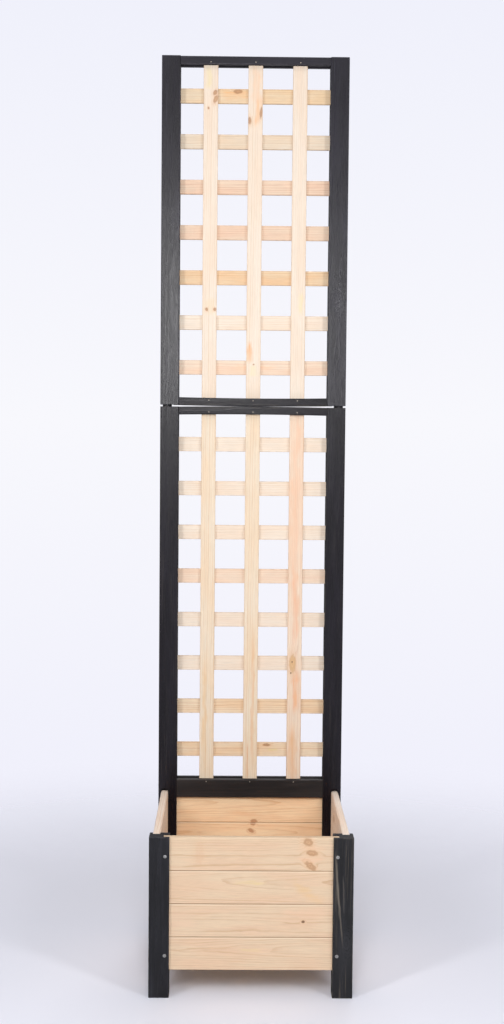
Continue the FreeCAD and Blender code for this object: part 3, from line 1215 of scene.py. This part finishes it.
@dataclass
class Walls:
    """The tongued boards of the four walls."""

    maker: Maker
    finish: PineFinish = PineFinish()
    rows: int = 4
    cover: float = 66.0
    tongue: float = 5.0
    slot_play: float = 0.1
    slot_depth: float = 5.5
    seam_bevel: float = 1.0
    top_round: float = 3.0

    def build(self) -> None:
        """Builds the boards of all four walls, numbered from the top."""
        # The back and side boards take paler tones: painted light inside the box.
        for wall, run, tone in (
            ("front", Axis.X, Tone.BOARD), ("left", Axis.Y, Tone.SIDE),
            ("right", Axis.Y, Tone.SIDE), ("back", Axis.X, Tone.INNER),
        ):
            for row in range(1, self.rows + 1):
                self.board(f"{wall}_board_{row}", run, tone, row > 1 or wall == "back")

    def seams(self, box: Box, tongued: bool) -> tuple[float, ...]:
        """Heights of the joints at a board's edges; an untongued board has none at its top."""
        return (box.low.z, box.low.z + self.cover) if tongued else (box.low.z,)

    def outline(self, half: float, tongued: bool) -> list[Span]:
        """Half of a board's section, from bottom to top.

        Args:
            half: Half the board's thickness.
            tongued: Whether its upper edge has a tongue.

        Returns:
            The section's points, each as (out from the middle, up).
        """
        slot, bevel = self.tongue / 2 + self.slot_play, self.seam_bevel
        points = [(slot, self.slot_depth), (slot, 0.0), (half - bevel, 0.0), (half, bevel)]
        if not tongued:
            return points + [(half, self.cover)]
        tip = self.tongue / 2
        points += [(half, self.cover - bevel), (half - bevel, self.cover), (tip, self.cover)]
        return points + [(tip, self.cover + self.tongue)]

    def board(self, node: str, run: Axis, tone: Tone, tongued: bool) -> None:
        """One board: its section is drawn at one end and drawn out to the other.

        Args:
            node: The CAD node that it stands for.
            run: The way it runs.
            tone: The wood's tone, where the board has none of its own.
            tongued: Whether its upper edge has a tongue.
        """
        box = Box.of_node(node)
        across = Axis.Y if run is Axis.X else Axis.X
        half_section = self.outline(box.half[across.value], tongued)
        section = half_section + [(-x, z) for x, z in reversed(half_section)]
        shape = bmesh.new()
        points = []
        for out, up in section:
            corner = Vector((0.0, 0.0, box.low.z + up))
            corner[run.value] = box.low[run.value]
            corner[across.value] = box.middle[across.value] + out
            points.append(shape.verts.new(corner))
        shape.faces.new(points)
        drawn_out(shape, run.unit() * (2 * box.half[run.value]))
        if not tongued:
            top = [e for e in edges_along(shape, run) if e.verts[0].co.z > box.high.z - WELD]
            rounded(shape, top, self.top_round, 5)
        seed = len(node) + box.seed(0.0, 0.0, 0.37)
        usual = Plank(run, across, (8.0, 26.0), (0.01, 0.015), 3.2, tone, seed, marks=BOARD_MARKS.get(node, Marks()))
        plank = replace(BOARD_PLANKS.get(node, usual), seams=self.seams(box, tongued))
        material = self.finish.material(f"pine_{node}", plank, box)
        self.maker.publish(node, "timber", shape, material, Body.PLANTER, Slot.BOARDS)


@dataclass
class PlanterFloor:
    """Slats with drainage gaps on two cleats."""

    maker: Maker
    finish: PineFinish = PineFinish(roughness=0.62, relief=0.2)
    slats: int = 4
    bevel: float = 1.0
    notch_play: float = 0.5

    def build(self) -> None:
        """Builds the slats and the cleats."""
        for number in range(1, self.slats + 1):
            self.strip(f"floor_slat_{number}", Axis.X)
        for side in ("left", "right"):
            self.strip(f"floor_cleat_{side}", Axis.Y)

    def notches(self, box: Box) -> list[Shape]:
        """What a slat leaves free for the front posts and the rear stiles.

        Args:
            box: The slat's box.

        Returns:
            The cutters' shapes, none for a slat between the posts and the stiles.
        """
        post, stile = Box.of_node("front_post_right"), Box.of_node("lower_stile_right")
        front, rear = post.high.y + self.notch_play, stile.low.y - self.notch_play
        start, end = box.through(Axis.Y)
        found = []
        for edge, along in ((front, (start, front)), (rear, (rear, end))):
            if box.low.y < edge < box.high.y:
                for sign in (-1.0, 1.0):
                    tip = beside(sign, post.low.x - self.notch_play, box.high.x + RUN_OUT)
                    found.append(block(tip, along, box.through(Axis.Z)))
        return found

    def strip(self, node: str, run: Axis) -> None:
        """A slat, notched where it meets an upright, or a cleat.

        Args:
            node: The CAD node that it stands for.
            run: The way it runs.
        """
        box = Box.of_node(node)
        shape = planed(box, run, self.bevel, 0.0)
        notches = self.notches(box) if run is Axis.X else []
        if notches:
            shape = carved(shape, notches)
        plank = Plank(run, Axis.Z, (25.0, 40.0), (0.01, 0.015), 3.8, Tone.FLOOR, box.seed(0.07, 0.13, 0.0))
        material = self.finish.material(f"pine_{node}", plank, box)
        self.maker.publish(node, "timber", shape, material, Body.PLANTER, Slot.FLOOR)


@dataclass(frozen=True)
class Rail:
    """A rail of a trellis panel: its channels, and how it has settled and bowed."""

    node: str
    below: float = 0.0
    above: float = 0.0
    settle: float = 0.0
    bow: float = 0.0
    half_span: float = 160.0

    def lift(self, x: float) -> float:
        """How far the rail lies above its drawn height at a place along it."""
        return self.settle + self.bow * max(0.0, 1.0 - (x / self.half_span) ** 2)


@dataclass
class TrellisPanel:
    """One panel's rails and laths."""

    maker: Maker
    name: str
    body: Body
    rails: tuple[Rail, ...]
    lath_tones: tuple[Tone, ...]
    cross_tones: tuple[Tone, ...]
    lath_bevel: float = 0.8
    lath_end: float = 0.3
    rail_arris: float = 1.5
    rail_slice: float = 20.0
    channel: float = 15.2
    tenon_play: float = 0.1
    # A darker arris colour: painted shade along the laths' edges.
    finish: PineFinish = PineFinish(arris_painted_light_colour="d3ad86", arris_reach=2.2, arris_share=0.5)
    stain: StainFinish = StainFinish(shine=0.15)

    def build(self, brads: "Brads") -> None:
        """Builds the rails and laths.

        Args:
            brads: The panel's brads, which say where the holes are.
        """
        for rail in self.rails:
            self.rail(rail, brads)
        for number, tone in enumerate(self.lath_tones, 1):
            self.lath(f"{self.name}_upright_lath_{number}", Axis.Z, tone, number * 3.1)
        for number, tone in enumerate(self.cross_tones, 1):
            self.lath(f"{self.name}_cross_lath_{number}", Axis.X, tone, number * 1.7)

    def joinery(self, box: Box, rail: Rail) -> list[Shape]:
        """What is cut from a rail: its tenons' cheeks, and the channels for laths or boards.

        Args:
            box: The rail's box.
            rail: The rail.

        Returns:
            The cutters' shapes.
        """
        through, (front, back), (bottom, top) = (box.through(axis) for axis in Axis)
        middle, half = box.middle.y, self.channel / 2
        tenon = half - self.tenon_play
        channel = middle - half, middle + half
        cutters = []
        for sign in (-1.0, 1.0):
            shoulder = beside(sign, rail.half_span, through[1])
            for cheek in ((front, middle - tenon), (middle + tenon, back)):
                cutters.append(block(shoulder, cheek, (bottom, top)))
        if rail.below:
            cutters.append(block(through, channel, (bottom, box.low.z + rail.below)))
        if rail.above:
            cutters.append(block(through, channel, (box.high.z - rail.above, top)))
        return cutters

    def rail(self, rail: Rail, brads: "Brads") -> None:
        """A rail with shouldered tenons, channels and the brads' holes.

        Args:
            rail: Its node, channels and bow.
            brads: The brads to bore for.
        """
        box = Box.of_node(rail.node)
        stock = planed(box, Axis.X, self.rail_arris, 0.0)
        plank = Plank(Axis.X, Axis.Y, (14.0, 34.0), (0.002, 0.01), 3.0, seed=box.seed(0.0, 0.0, 0.01))
        material = STAINS.get(rail.node, self.stain).material(f"stain_{rail.node}", plank, box)
        shape = self.bowed(carved(stock, self.joinery(box, rail) + brads.holes(rail)), rail)
        self.maker.publish(rail.node, "timber", shape, material, self.body, Slot.STAIN)

    def bowed(self, shape: Shape, rail: Rail) -> Shape:
        """Slices a straight rail across and lifts every slice to where the bowed rail lies.

        Args:
            shape: The straight rail.
            rail: How it has settled and bowed.

        Returns:
            The same shape, bowed.
        """
        if rail.bow:
            slices = round(rail.half_span / self.rail_slice)
            for step in range(1 - slices, slices):
                geometry = [*shape.verts, *shape.edges, *shape.faces]
                place = step * self.rail_slice, 0, 0
                bmesh.ops.bisect_plane(shape, geom=geometry, plane_co=place, plane_no=(1, 0, 0))
        for vert in shape.verts:
            vert.co.z += rail.lift(vert.co.x)
        return shape

    def lath(self, node: str, run: Axis, tone: Tone, seed: float) -> None:
        """A lath with eased arrises.

        Args:
            node: The CAD node that it stands for.
            run: The way it runs.
            tone: The wood's tone.
            seed: A number of the lath's own.
        """
        box = Box.of_node(node)
        pith = 26.0 + 9.0 * math.sin(seed), 22.0
        tilt = 0.004 * math.sin(seed * 2.3), 0.004
        plank = Plank(run, Axis.Y, pith, tilt, 3.1, tone, seed, sway=3.0, marks=LATH_MARKS.get(node, Marks()))
        material = self.finish.material(f"pine_{node}", plank, box)
        shape = planed(box, run, self.lath_bevel, self.lath_end)
        self.maker.publish(node, "timber", shape, material, self.body, Slot.LATHS)


@dataclass(frozen=True)
class ScrewPlan:
    """Where the planter's screws go."""

    face: float = 200.0
    end_x: float = 168.5
    end_heights: Span = (281.0, 84.0)
    side_y: float = 169.0
    side_heights: Span = (267.0, 98.0)
    cleat_width: float = 18.0

    @staticmethod
    def mirrored(spots: list[tuple[Point, Point]]) -> list[Spot]:
        """Spots, each with its mirror image across the middle."""
        flips = Vector((1, 1, 1)), Vector((-1, 1, 1))
        return [(Vector(point) * flip, Vector(way) * flip) for point, way in spots for flip in flips]

    def walls(self) -> list[Spot]:
        """Screws through the uprights into the ends of the boards.

        Returns:
            The middle of each head, and the way that its screw points.
        """
        front = [((self.end_x, sign * self.face, z), (0, -sign, 0)) for z in self.end_heights for sign in (-1, 1)]
        sides = [((self.face, sign * self.side_y, z), (-1, 0, 0)) for z in self.side_heights for sign in (-1, 1)]
        return self.mirrored(front + sides)

    def floor(self) -> list[Spot]:
        """Screws down through the slats, and out through the cleats between the slats.

        Returns:
            The middle of each head, and the way that its screw points.
        """
        cleat = Box.of_node("floor_cleat_right")
        slats = [Box.of_node(f"floor_slat_{n}") for n in range(1, 5)]
        spots = [((cleat.middle.x, slat.middle.y, slat.high.z), (0, 0, -1)) for slat in slats]
        for near, far in (slats[:2], slats[2:]):
            gap = (near.high.y + far.low.y) / 2
            spots.append(((cleat.high.x - self.cleat_width, gap, cleat.middle.z), (1, 0, 0)))
        return self.mirrored(spots)


@dataclass
class Screws:
    """Countersunk cross-head screws of one CAD node."""

    maker: Maker
    node: str
    spots: list[Spot]
    head_radius: float = 3.3
    head_height: float = 2.2
    rim: float = 0.15
    rim_ease: float = 0.25
    shank_radius: float = 1.72
    length: float = 29.5
    tip_length: float = 4.0
    tip_radius: float = 0.25
    sunk: float = 0.3
    recess_span: float = 4.0
    recess_width: float = 0.95
    recess_depth: float = 1.5
    recess_taper: Point = (0.45, 0.7, 1.0)
    first_turn: float = 23.0
    next_turn: float = 61.0

    def one(self) -> Shape:
        """A screw along +Z, its head at the origin: spun body, with a tapered cross sunk in the head.

        Returns:
            Its shape.
        """
        low, head, shank = self.sunk, self.head_radius, self.shank_radius
        profile = [
            (0.0, low), (head - self.rim_ease, low), (head, low + self.rim), (head, low + 2 * self.rim),
            (shank, low + self.head_height), (shank, self.length - self.tip_length),
            (self.tip_radius, self.length), (0.0, self.length),
        ]
        span, width = self.recess_span / 2, self.recess_width / 2
        wings = []
        for turn in (0.0, 90.0):
            wing = block((-span, span), (-width, width), (low - RUN_OUT, low + self.recess_depth))
            deep = [v for v in wing.verts if v.co.z > low]
            bmesh.ops.scale(wing, vec=self.recess_taper, verts=deep)
            matrix = Matrix.Rotation(math.radians(turn), 3, "Z")
            bmesh.ops.rotate(wing, verts=wing.verts, cent=(0, 0, 0), matrix=matrix)
            wings.append(wing)
        return carved(turned(profile, 32), wings)

    def build(self) -> None:
        """Builds all the screws of the node as one piece, each head turned its own way."""
        turns = [self.first_turn + self.next_turn * count for count in range(len(self.spots))]
        shape = copies(self.one(), [aim(*spot, turn) for spot, turn in zip(self.spots, turns)])
        material = ZincFinish().material(f"zinc_{self.node}")
        self.maker.publish(self.node, "metal", shape, material, Body.PLANTER, Slot.ZINC)


@dataclass
class Brads:
    """Headed brads that pin a panel's upright laths in its rails."""

    maker: Maker
    node: str
    body: Body
    rows: tuple[tuple[Rail, float], ...]
    columns: tuple[float, ...] = (-95.5, 0.0, 95.5)
    face_y: float = 164.0
    shank_radius: float = 0.8
    length: float = 16.0
    tip_length: float = 2.0
    crown: tuple[Span, ...] = ((0.0, 0.05), (0.8, 0.1), (1.2, 0.3), (1.2, 0.6))
    head_hole: Span = (1.3, 0.65)
    shank_hole: Span = (0.85, 12.0)
    finish: ZincFinish = ZincFinish("b4aa9e", "90877b", 0.5)

    def drawn(self, rail: Rail) -> list[Vector]:
        """Middle of each head in a rail, as drawn before the rail settled."""
        return [Vector((x, self.face_y, z)) for row, z in self.rows for x in self.columns if row == rail]

    def holes(self, rail: Rail) -> list[Shape]:
        """The holes for the brads in a rail, as drawn before the rail settled.

        Args:
            rail: The rail.

        Returns:
            The cutters' shapes.
        """
        (head, rim), (shank, depth) = self.head_hole, self.shank_hole
        profile = [(0.0, -RUN_OUT), (head, -RUN_OUT), (head, rim), (shank, rim), (shank, depth), (0.0, depth)]
        return [aimed(turned(profile, 20), point, Axis.Y.unit()) for point in self.drawn(rail)]

    def build(self) -> None:
        """Builds all the brads of the node as one piece."""
        shank, neck = self.shank_radius, self.crown[-1][1] + 0.02
        profile = [*self.crown, (shank, neck), (shank, self.length - self.tip_length), (0.0, self.length)]
        places = []
        for rail, _ in self.rows:
            for point in self.drawn(rail):
                places.append(aim(point + Axis.Z.unit() * rail.lift(point.x), Axis.Y.unit()))
        shape = copies(turned(profile, 20), places)
        material = self.finish.material(f"zinc_{self.node}")
        self.maker.publish(self.node, "metal", shape, material, self.body, Slot.ZINC)


STAINS = {
    "upper_stile_left": StainFinish("110e14", "2e2b34", "565360", 0.24, 0.33),
    "upper_stile_right": StainFinish("100d14", "2d2a35", "524f5e", 0.25, 0.32),
    "upper_top_rail": StainFinish("15121a", "322e39", "55505a", 0.3, 0.3),
    "front_post_left": StainFinish("121215", "303036", "4e4e56", 0.26, 0.25, thin=0.55),
    "front_post_right": StainFinish("151517", "36363a", "635b4f", 0.26, 0.27, thin=0.75),
    "base_rail": StainFinish("1d1a1b", "3c3736", "524843", 0.3, 0.27),
}
STAIN_MARKS = {
    "upper_stile_right": Marks((Knot(1385, 176, 14, 9), Knot(1250, 190, 10, 6))),
    "upper_stile_left": Marks((Knot(1560, -172, 12, 8),)),
    "front_post_right": Marks(
        (Knot(110, 186, 16, 8),),
        (
            Streak(169, 3.2, 150, 300, "7c7468", 0.62, -0.06), Streak(174, 2.2, 90, 250, "746c62", 0.6, -0.09),
            Streak(181, 2.6, 160, 250, "5f5a55", 0.5, -0.03),
        ),
    ),
    "lower_stile_left": Marks((Knot(800, -188, 12, 7),)),
}
BOARD_MARKS = {
    "back_board_1": Marks((Knot(10.3, 249.5, 8, 5, KnotKind.RED),), (Streak(262, 12, -60, 90, "eeb98c", 0.5, -0.1),)),
    "back_board_2": Marks((Knot(3.8, 228.7, 7, 5, KnotKind.RED, -0.3), Knot(8, 244, 6, 4, KnotKind.RED))),
    "left_board_2": Marks((Knot(-60, 215, 9, 7),)),
    "right_board_1": Marks((Knot(70, 285, 10, 8),)),
    "right_board_3": Marks((Knot(-25, 150, 6, 5),)),
    "left_board_4": Marks((Knot(90, 90, 8, 6),)),
    "back_board_3": Marks((Knot(-80, 150, 8, 6),)),
}
BOARD_PLANKS = {
    "front_board_1": Plank(
        Axis.X, Axis.Y, (-12.0, 24.0), (0.02, 0.004), 3.1, Tone.BOARD, 1.3, marks=Marks((
            Knot(110.5, 309, 10, 8, KnotKind.TAN, -0.15), Knot(118.0, 287.7, 12, 6, KnotKind.TAN, -0.1),
            Knot(115.5, 262, 11, 7.5, KnotKind.TAN, -0.55), Knot(-101, 287, 9, 24, KnotKind.BURIED),
        ), (Streak(297, 9, 80, 152, "f0bf98", 0.3), Streak(275, 8, 80, 150, "f2bd9a", 0.35))), contrast=0.75,
    ),
    "front_board_2": Plank(
        Axis.X, Axis.Y, (8.0, 20.0), (0.0, -0.03), 3.0, Tone.BOARD, 2.6, marks=Marks((), (
            Streak(228.5, 6, -40, 34, "e4cc98", 0.75), Streak(206, 17, 76, 148, "e3bf90", 0.65, -0.75),
            Streak(196, 10, 100, 152, "e6c09a", 0.45),
        )), contrast=0.9,
    ),
    "front_board_3": Plank(
        Axis.X, Axis.Y, (-14.0, 34.0), (-0.012, 0.0), 3.3, Tone.BOARD, 3.7, marks=Marks(
            (Knot(102.3, 151.1, 3.6, 3.0, KnotKind.DEAD),),
            (Streak(168, 14, 45, 160, "e8c3a4", 0.55), Streak(150, 26, -190, -96, "e6c4a8", 0.4)),
        ), contrast=0.7,
    ),
    "front_board_4": Plank(
        Axis.X, Axis.Y, (4.5, 16.0), (0.0, -0.018), 3.2, Tone.BOARD, 4.1,
        marks=Marks((), (Streak(94.3, 4.5, -26, 24, "e4cc9c", 0.7),)), contrast=0.85,
    ),
}
LATH_MARKS = {
    "upper_upright_lath_1": Marks(
        (
            Knot(1829, -86, 6, 4.5, KnotKind.LIVE, 0.3), Knot(1815, -85, 9, 5, KnotKind.TAN, 0.3),
            Knot(1796, -100.5, 3, 2.2), Knot(1368.5, -101.8, 4, 3.5), Knot(1368.5, -84.4, 4, 3.5),
        ),
        (Streak(-99.6, 10, 1832, 1890, "ecd9a8", 0.7), Streak(-93, 18, 1352, 1398, "e8cb9c", 0.4)),
    ),
    "upper_upright_lath_2": Marks(
        (Knot(1770, -12.5, 8.5, 4), Knot(1787, 12.0, 13, 3, KnotKind.LIVE, 0.1), Knot(1251, 0.6, 1.6, 2)),
        (
            Streak(5, 9, 1752, 1830, "f0bd8c", 0.8, 0.15), Streak(-8.5, 7, 1250, 1304, "f0b07c", 0.95),
            Streak(0, 12, 1222, 1253, "efe0ae", 0.6), Streak(1, 12, 1800, 1893, "f1c9a6", 0.7),
        ),
    ),
    "upper_upright_lath_3": Marks((), (Streak(100.5, 7, 1355, 1410, "f0dcac", 0.6),)),
    "upper_cross_lath_1": Marks((Knot(-37.6, 1833, 10, 5),), (Streak(1826, 12, -80, -8, "f0b87e", 0.7),)),
    "upper_cross_lath_7": Marks((), (Streak(1244, 9, -60, 60, "f3c29c", 0.6),)),
    "lower_upright_lath_1": Marks((), (Streak(-101, 6, 336, 640, "e6bd8a", 0.7),)),
    "lower_upright_lath_2": Marks((), (Streak(-6, 3, 334, 430, "d89a68", 0.8), Streak(5, 6, 336, 700, "e4b482", 0.7))),
    "lower_upright_lath_3": Marks(
        (
            Knot(600, 91.5, 22, 8, KnotKind.PALE), Knot(603.5, 90.5, 2.6, 1.4, KnotKind.DEAD),
            Knot(579, 88, 2.4, 1.4, KnotKind.DEAD),
        ),
        (
            Streak(93.6, 14, 640, 1260, "eec09e", 0.6), Streak(97, 11, 620, 820, "ecb088", 0.6),
            Streak(98, 10, 480, 592, "ecae80", 0.8), Streak(92, 12, 300, 480, "e6b07e", 0.7),
        ),
    ),
    "lower_cross_lath_8": Marks((Knot(35.7, 418.5, 9, 3.5),), (Streak(408, 3.5, 36, 64, "e6d08c", 0.8),)),
}


@dataclass(frozen=True)
class Lens:
    """Where the photographer stood, as fitted to the edges of the object."""

    place: Point = (-0.041, -3.028, 1.127)
    focal: float = 51.89
    sensor: float = 36.0
    yaw: float = 0.732
    pitch: float = 3.49
    roll: float = 0.499

    def build(self) -> bpy.types.Object:
        """Makes the scene's camera.

        Returns:
            The camera.
        """
        yaw, pitch, roll = (math.radians(a) for a in (self.yaw, self.pitch, self.roll))
        ahead = Vector((math.sin(yaw) * math.cos(pitch), math.cos(yaw) * math.cos(pitch), -math.sin(pitch)))
        right = Vector((math.cos(yaw), -math.sin(yaw), 0.0))
        up = right.cross(ahead)
        side = right * math.cos(roll) + up * math.sin(roll)
        top = up * math.cos(roll) - right * math.sin(roll)
        data = bpy.data.cameras.new("camera")
        data.lens, data.sensor_width, data.sensor_fit = self.focal, self.sensor, "AUTO"
        camera = bpy.data.objects.new("camera", data)
        turn = Matrix((side, top, -ahead)).transposed().to_4x4()
        camera.matrix_world = Matrix.Translation(self.place) @ turn
        bpy.context.scene.collection.objects.link(camera)
        bpy.context.scene.camera = camera
        return camera


@dataclass(frozen=True)
class Lamp:
    """A soft rectangular lamp."""

    name: str
    place: Point
    target: Point
    size: Span
    power: float

    def build(self) -> None:
        """Hangs the lamp."""
        data = bpy.data.lights.new(self.name, "AREA")
        data.shape, data.size, data.size_y = "RECTANGLE", *self.size
        data.energy = self.power
        lamp = bpy.data.objects.new(self.name, data)
        lamp.location = self.place
        lamp.rotation_mode = "QUATERNION"
        lamp.rotation_quaternion = (Vector(self.target) - Vector(self.place)).to_track_quat("-Z", "Y")
        lamp.visible_camera = False
        bpy.context.scene.collection.objects.link(lamp)


@dataclass
class Studio:
    """A plain pale floor, a pale surround and soft lamps."""

    floor_radius: float = 6.0
    floor_fade: Span = (0.45, 1.9)
    floor_colour: str = "eff0fa"
    surround: str = "f8f8fd"
    low_surround: str = "eeeefb"
    high_surround: str = "eff0fb"
    horizon: Span = (-0.3, 0.3)
    room_light: float = 0.32
    lamps: tuple[Lamp, ...] = (
        Lamp("front", (-0.1, -2.1, 1.44), (0.0, 0.0, 0.9), (0.42, 0.75), 17.5),
        Lamp("left", (-1.42, -1.75, 1.62), (0.0, 0.0, 0.7), (0.32, 0.8), 16.0),
        Lamp("right", (1.42, -1.75, 1.62), (0.0, 0.0, 0.7), (0.32, 0.8), 15.0),
        Lamp("overhead", (0.0, -2.0, 3.8), (0.0, 0.0, 0.2), (1.6, 1.2), 17.0),
        Lamp("back", (0.4, 3.4, 1.8), (0.0, 0.0, 1.0), (1.8, 1.6), 47.0),
    )

    def build(self) -> None:
        """Lays the floor, sets the world and hangs the lamps."""
        self.floor()
        self.world()
        for lamp in self.lamps:
            lamp.build()
        bpy.context.scene.view_settings.view_transform = "Standard"

    def floor(self) -> None:
        """A round floor that fades into the surround."""
        shape = bmesh.new()
        bmesh.ops.create_circle(shape, cap_ends=True, segments=96, radius=self.floor_radius)
        floor = as_object("studio_floor", shape)
        g = Graph(bpy.data.materials.new("studio_floor"))
        clear = g.ease(g.vector("LENGTH", g.add("ShaderNodeTexCoord").outputs["Object"]), *self.floor_fade)
        diffuse = g.add("ShaderNodeBsdfDiffuse", {"Color": srgb(self.floor_colour)})
        through = g.add("ShaderNodeBsdfTransparent")
        g.add("ShaderNodeOutputMaterial", {0: g.blend(clear, diffuse, through)})
        floor.data.materials.append(g.owner)

    def world(self) -> None:
        """A pale surround to the eye and in reflections, and a dimmer even room light on the object."""
        g = Graph(bpy.data.worlds.new("studio"))
        rays = g.add("ShaderNodeLightPath").outputs
        either = g.math("MAXIMUM", rays["Is Camera Ray"], rays["Is Glossy Ray"])
        shown = g.math("MAXIMUM", either, rays["Is Transmission Ray"])
        height = g.split(g.add("ShaderNodeTexCoord").outputs["Generated"])[2]
        reach = g.add("ShaderNodeMapRange", {0: height, 1: self.horizon[0], 2: self.horizon[1]}).outputs[0]
        shades = zip((0.0, 0.5, 1.0), (self.low_surround, self.surround, self.high_surround))
        seen = g.add("ShaderNodeBackground", {0: g.ramp(reach, [(place, srgb(shade)) for place, shade in shades])})
        light = g.add("ShaderNodeBackground", {0: srgb(self.surround), 1: self.room_light})
        g.add("ShaderNodeOutputWorld", {0: g.blend(shown, light, seen)})
        bpy.context.scene.world = g.owner


def main() -> None:
    """Builds the pieces in order, then the studio."""
    logging.basicConfig(level=logging.INFO, format="%(name)s: %(message)s")
    maker, plan = Maker(), ScrewPlan()
    Lens().build()
    Uprights(maker, plan.walls()).build()
    Walls(maker).build()
    PlanterFloor(maker).build()
    base = Rail("base_rail", 13.5, 12.0)
    lower_top = Rail("lower_top_rail", 8.0, 0.0, 0.8, 1.5)
    upper_bottom = Rail("upper_bottom_rail", 0.0, 8.0, -1.8, -1.5)
    upper_top = Rail("upper_top_rail", 8.0)
    lower_brads = Brads(maker, "lower_brads", Body.PLANTER, ((base, 340.0), (lower_top, 1146.0)))
    upper_brads = Brads(maker, "upper_brads", Body.UPPER, ((upper_bottom, 1176.0), (upper_top, 1891.0)))
    TrellisPanel(
        maker, "lower", Body.PLANTER, (base, lower_top),
        (Tone.OAT, Tone.OAT, Tone.BLUSH),
        # The lowest two cross laths take AMBER: painted shade, darker towards the bottom.
        (Tone.CREAM, Tone.CREAM, Tone.CREAM, Tone.BLUSH, Tone.CREAM, Tone.CREAM, Tone.AMBER, Tone.AMBER),
    ).build(lower_brads)
    TrellisPanel(
        maker, "upper", Body.UPPER, (upper_bottom, upper_top),
        (Tone.CREAM, Tone.CREAM, Tone.CREAM),
        (Tone.STRAW, Tone.SAND, Tone.ROSE, Tone.ROSE, Tone.HONEY, Tone.CREAM, Tone.BLUSH),
    ).build(upper_brads)
    for fasteners in (
        Screws(maker, "wall_screws", plan.walls()), Screws(maker, "floor_screws", plan.floor()),
        lower_brads, upper_brads,
    ):
        fasteners.build()
    Studio().build()
    LOG.info("%d pieces", maker.made)
    bpy.context.view_layer.update()


if __name__ == "__main__":
    main()
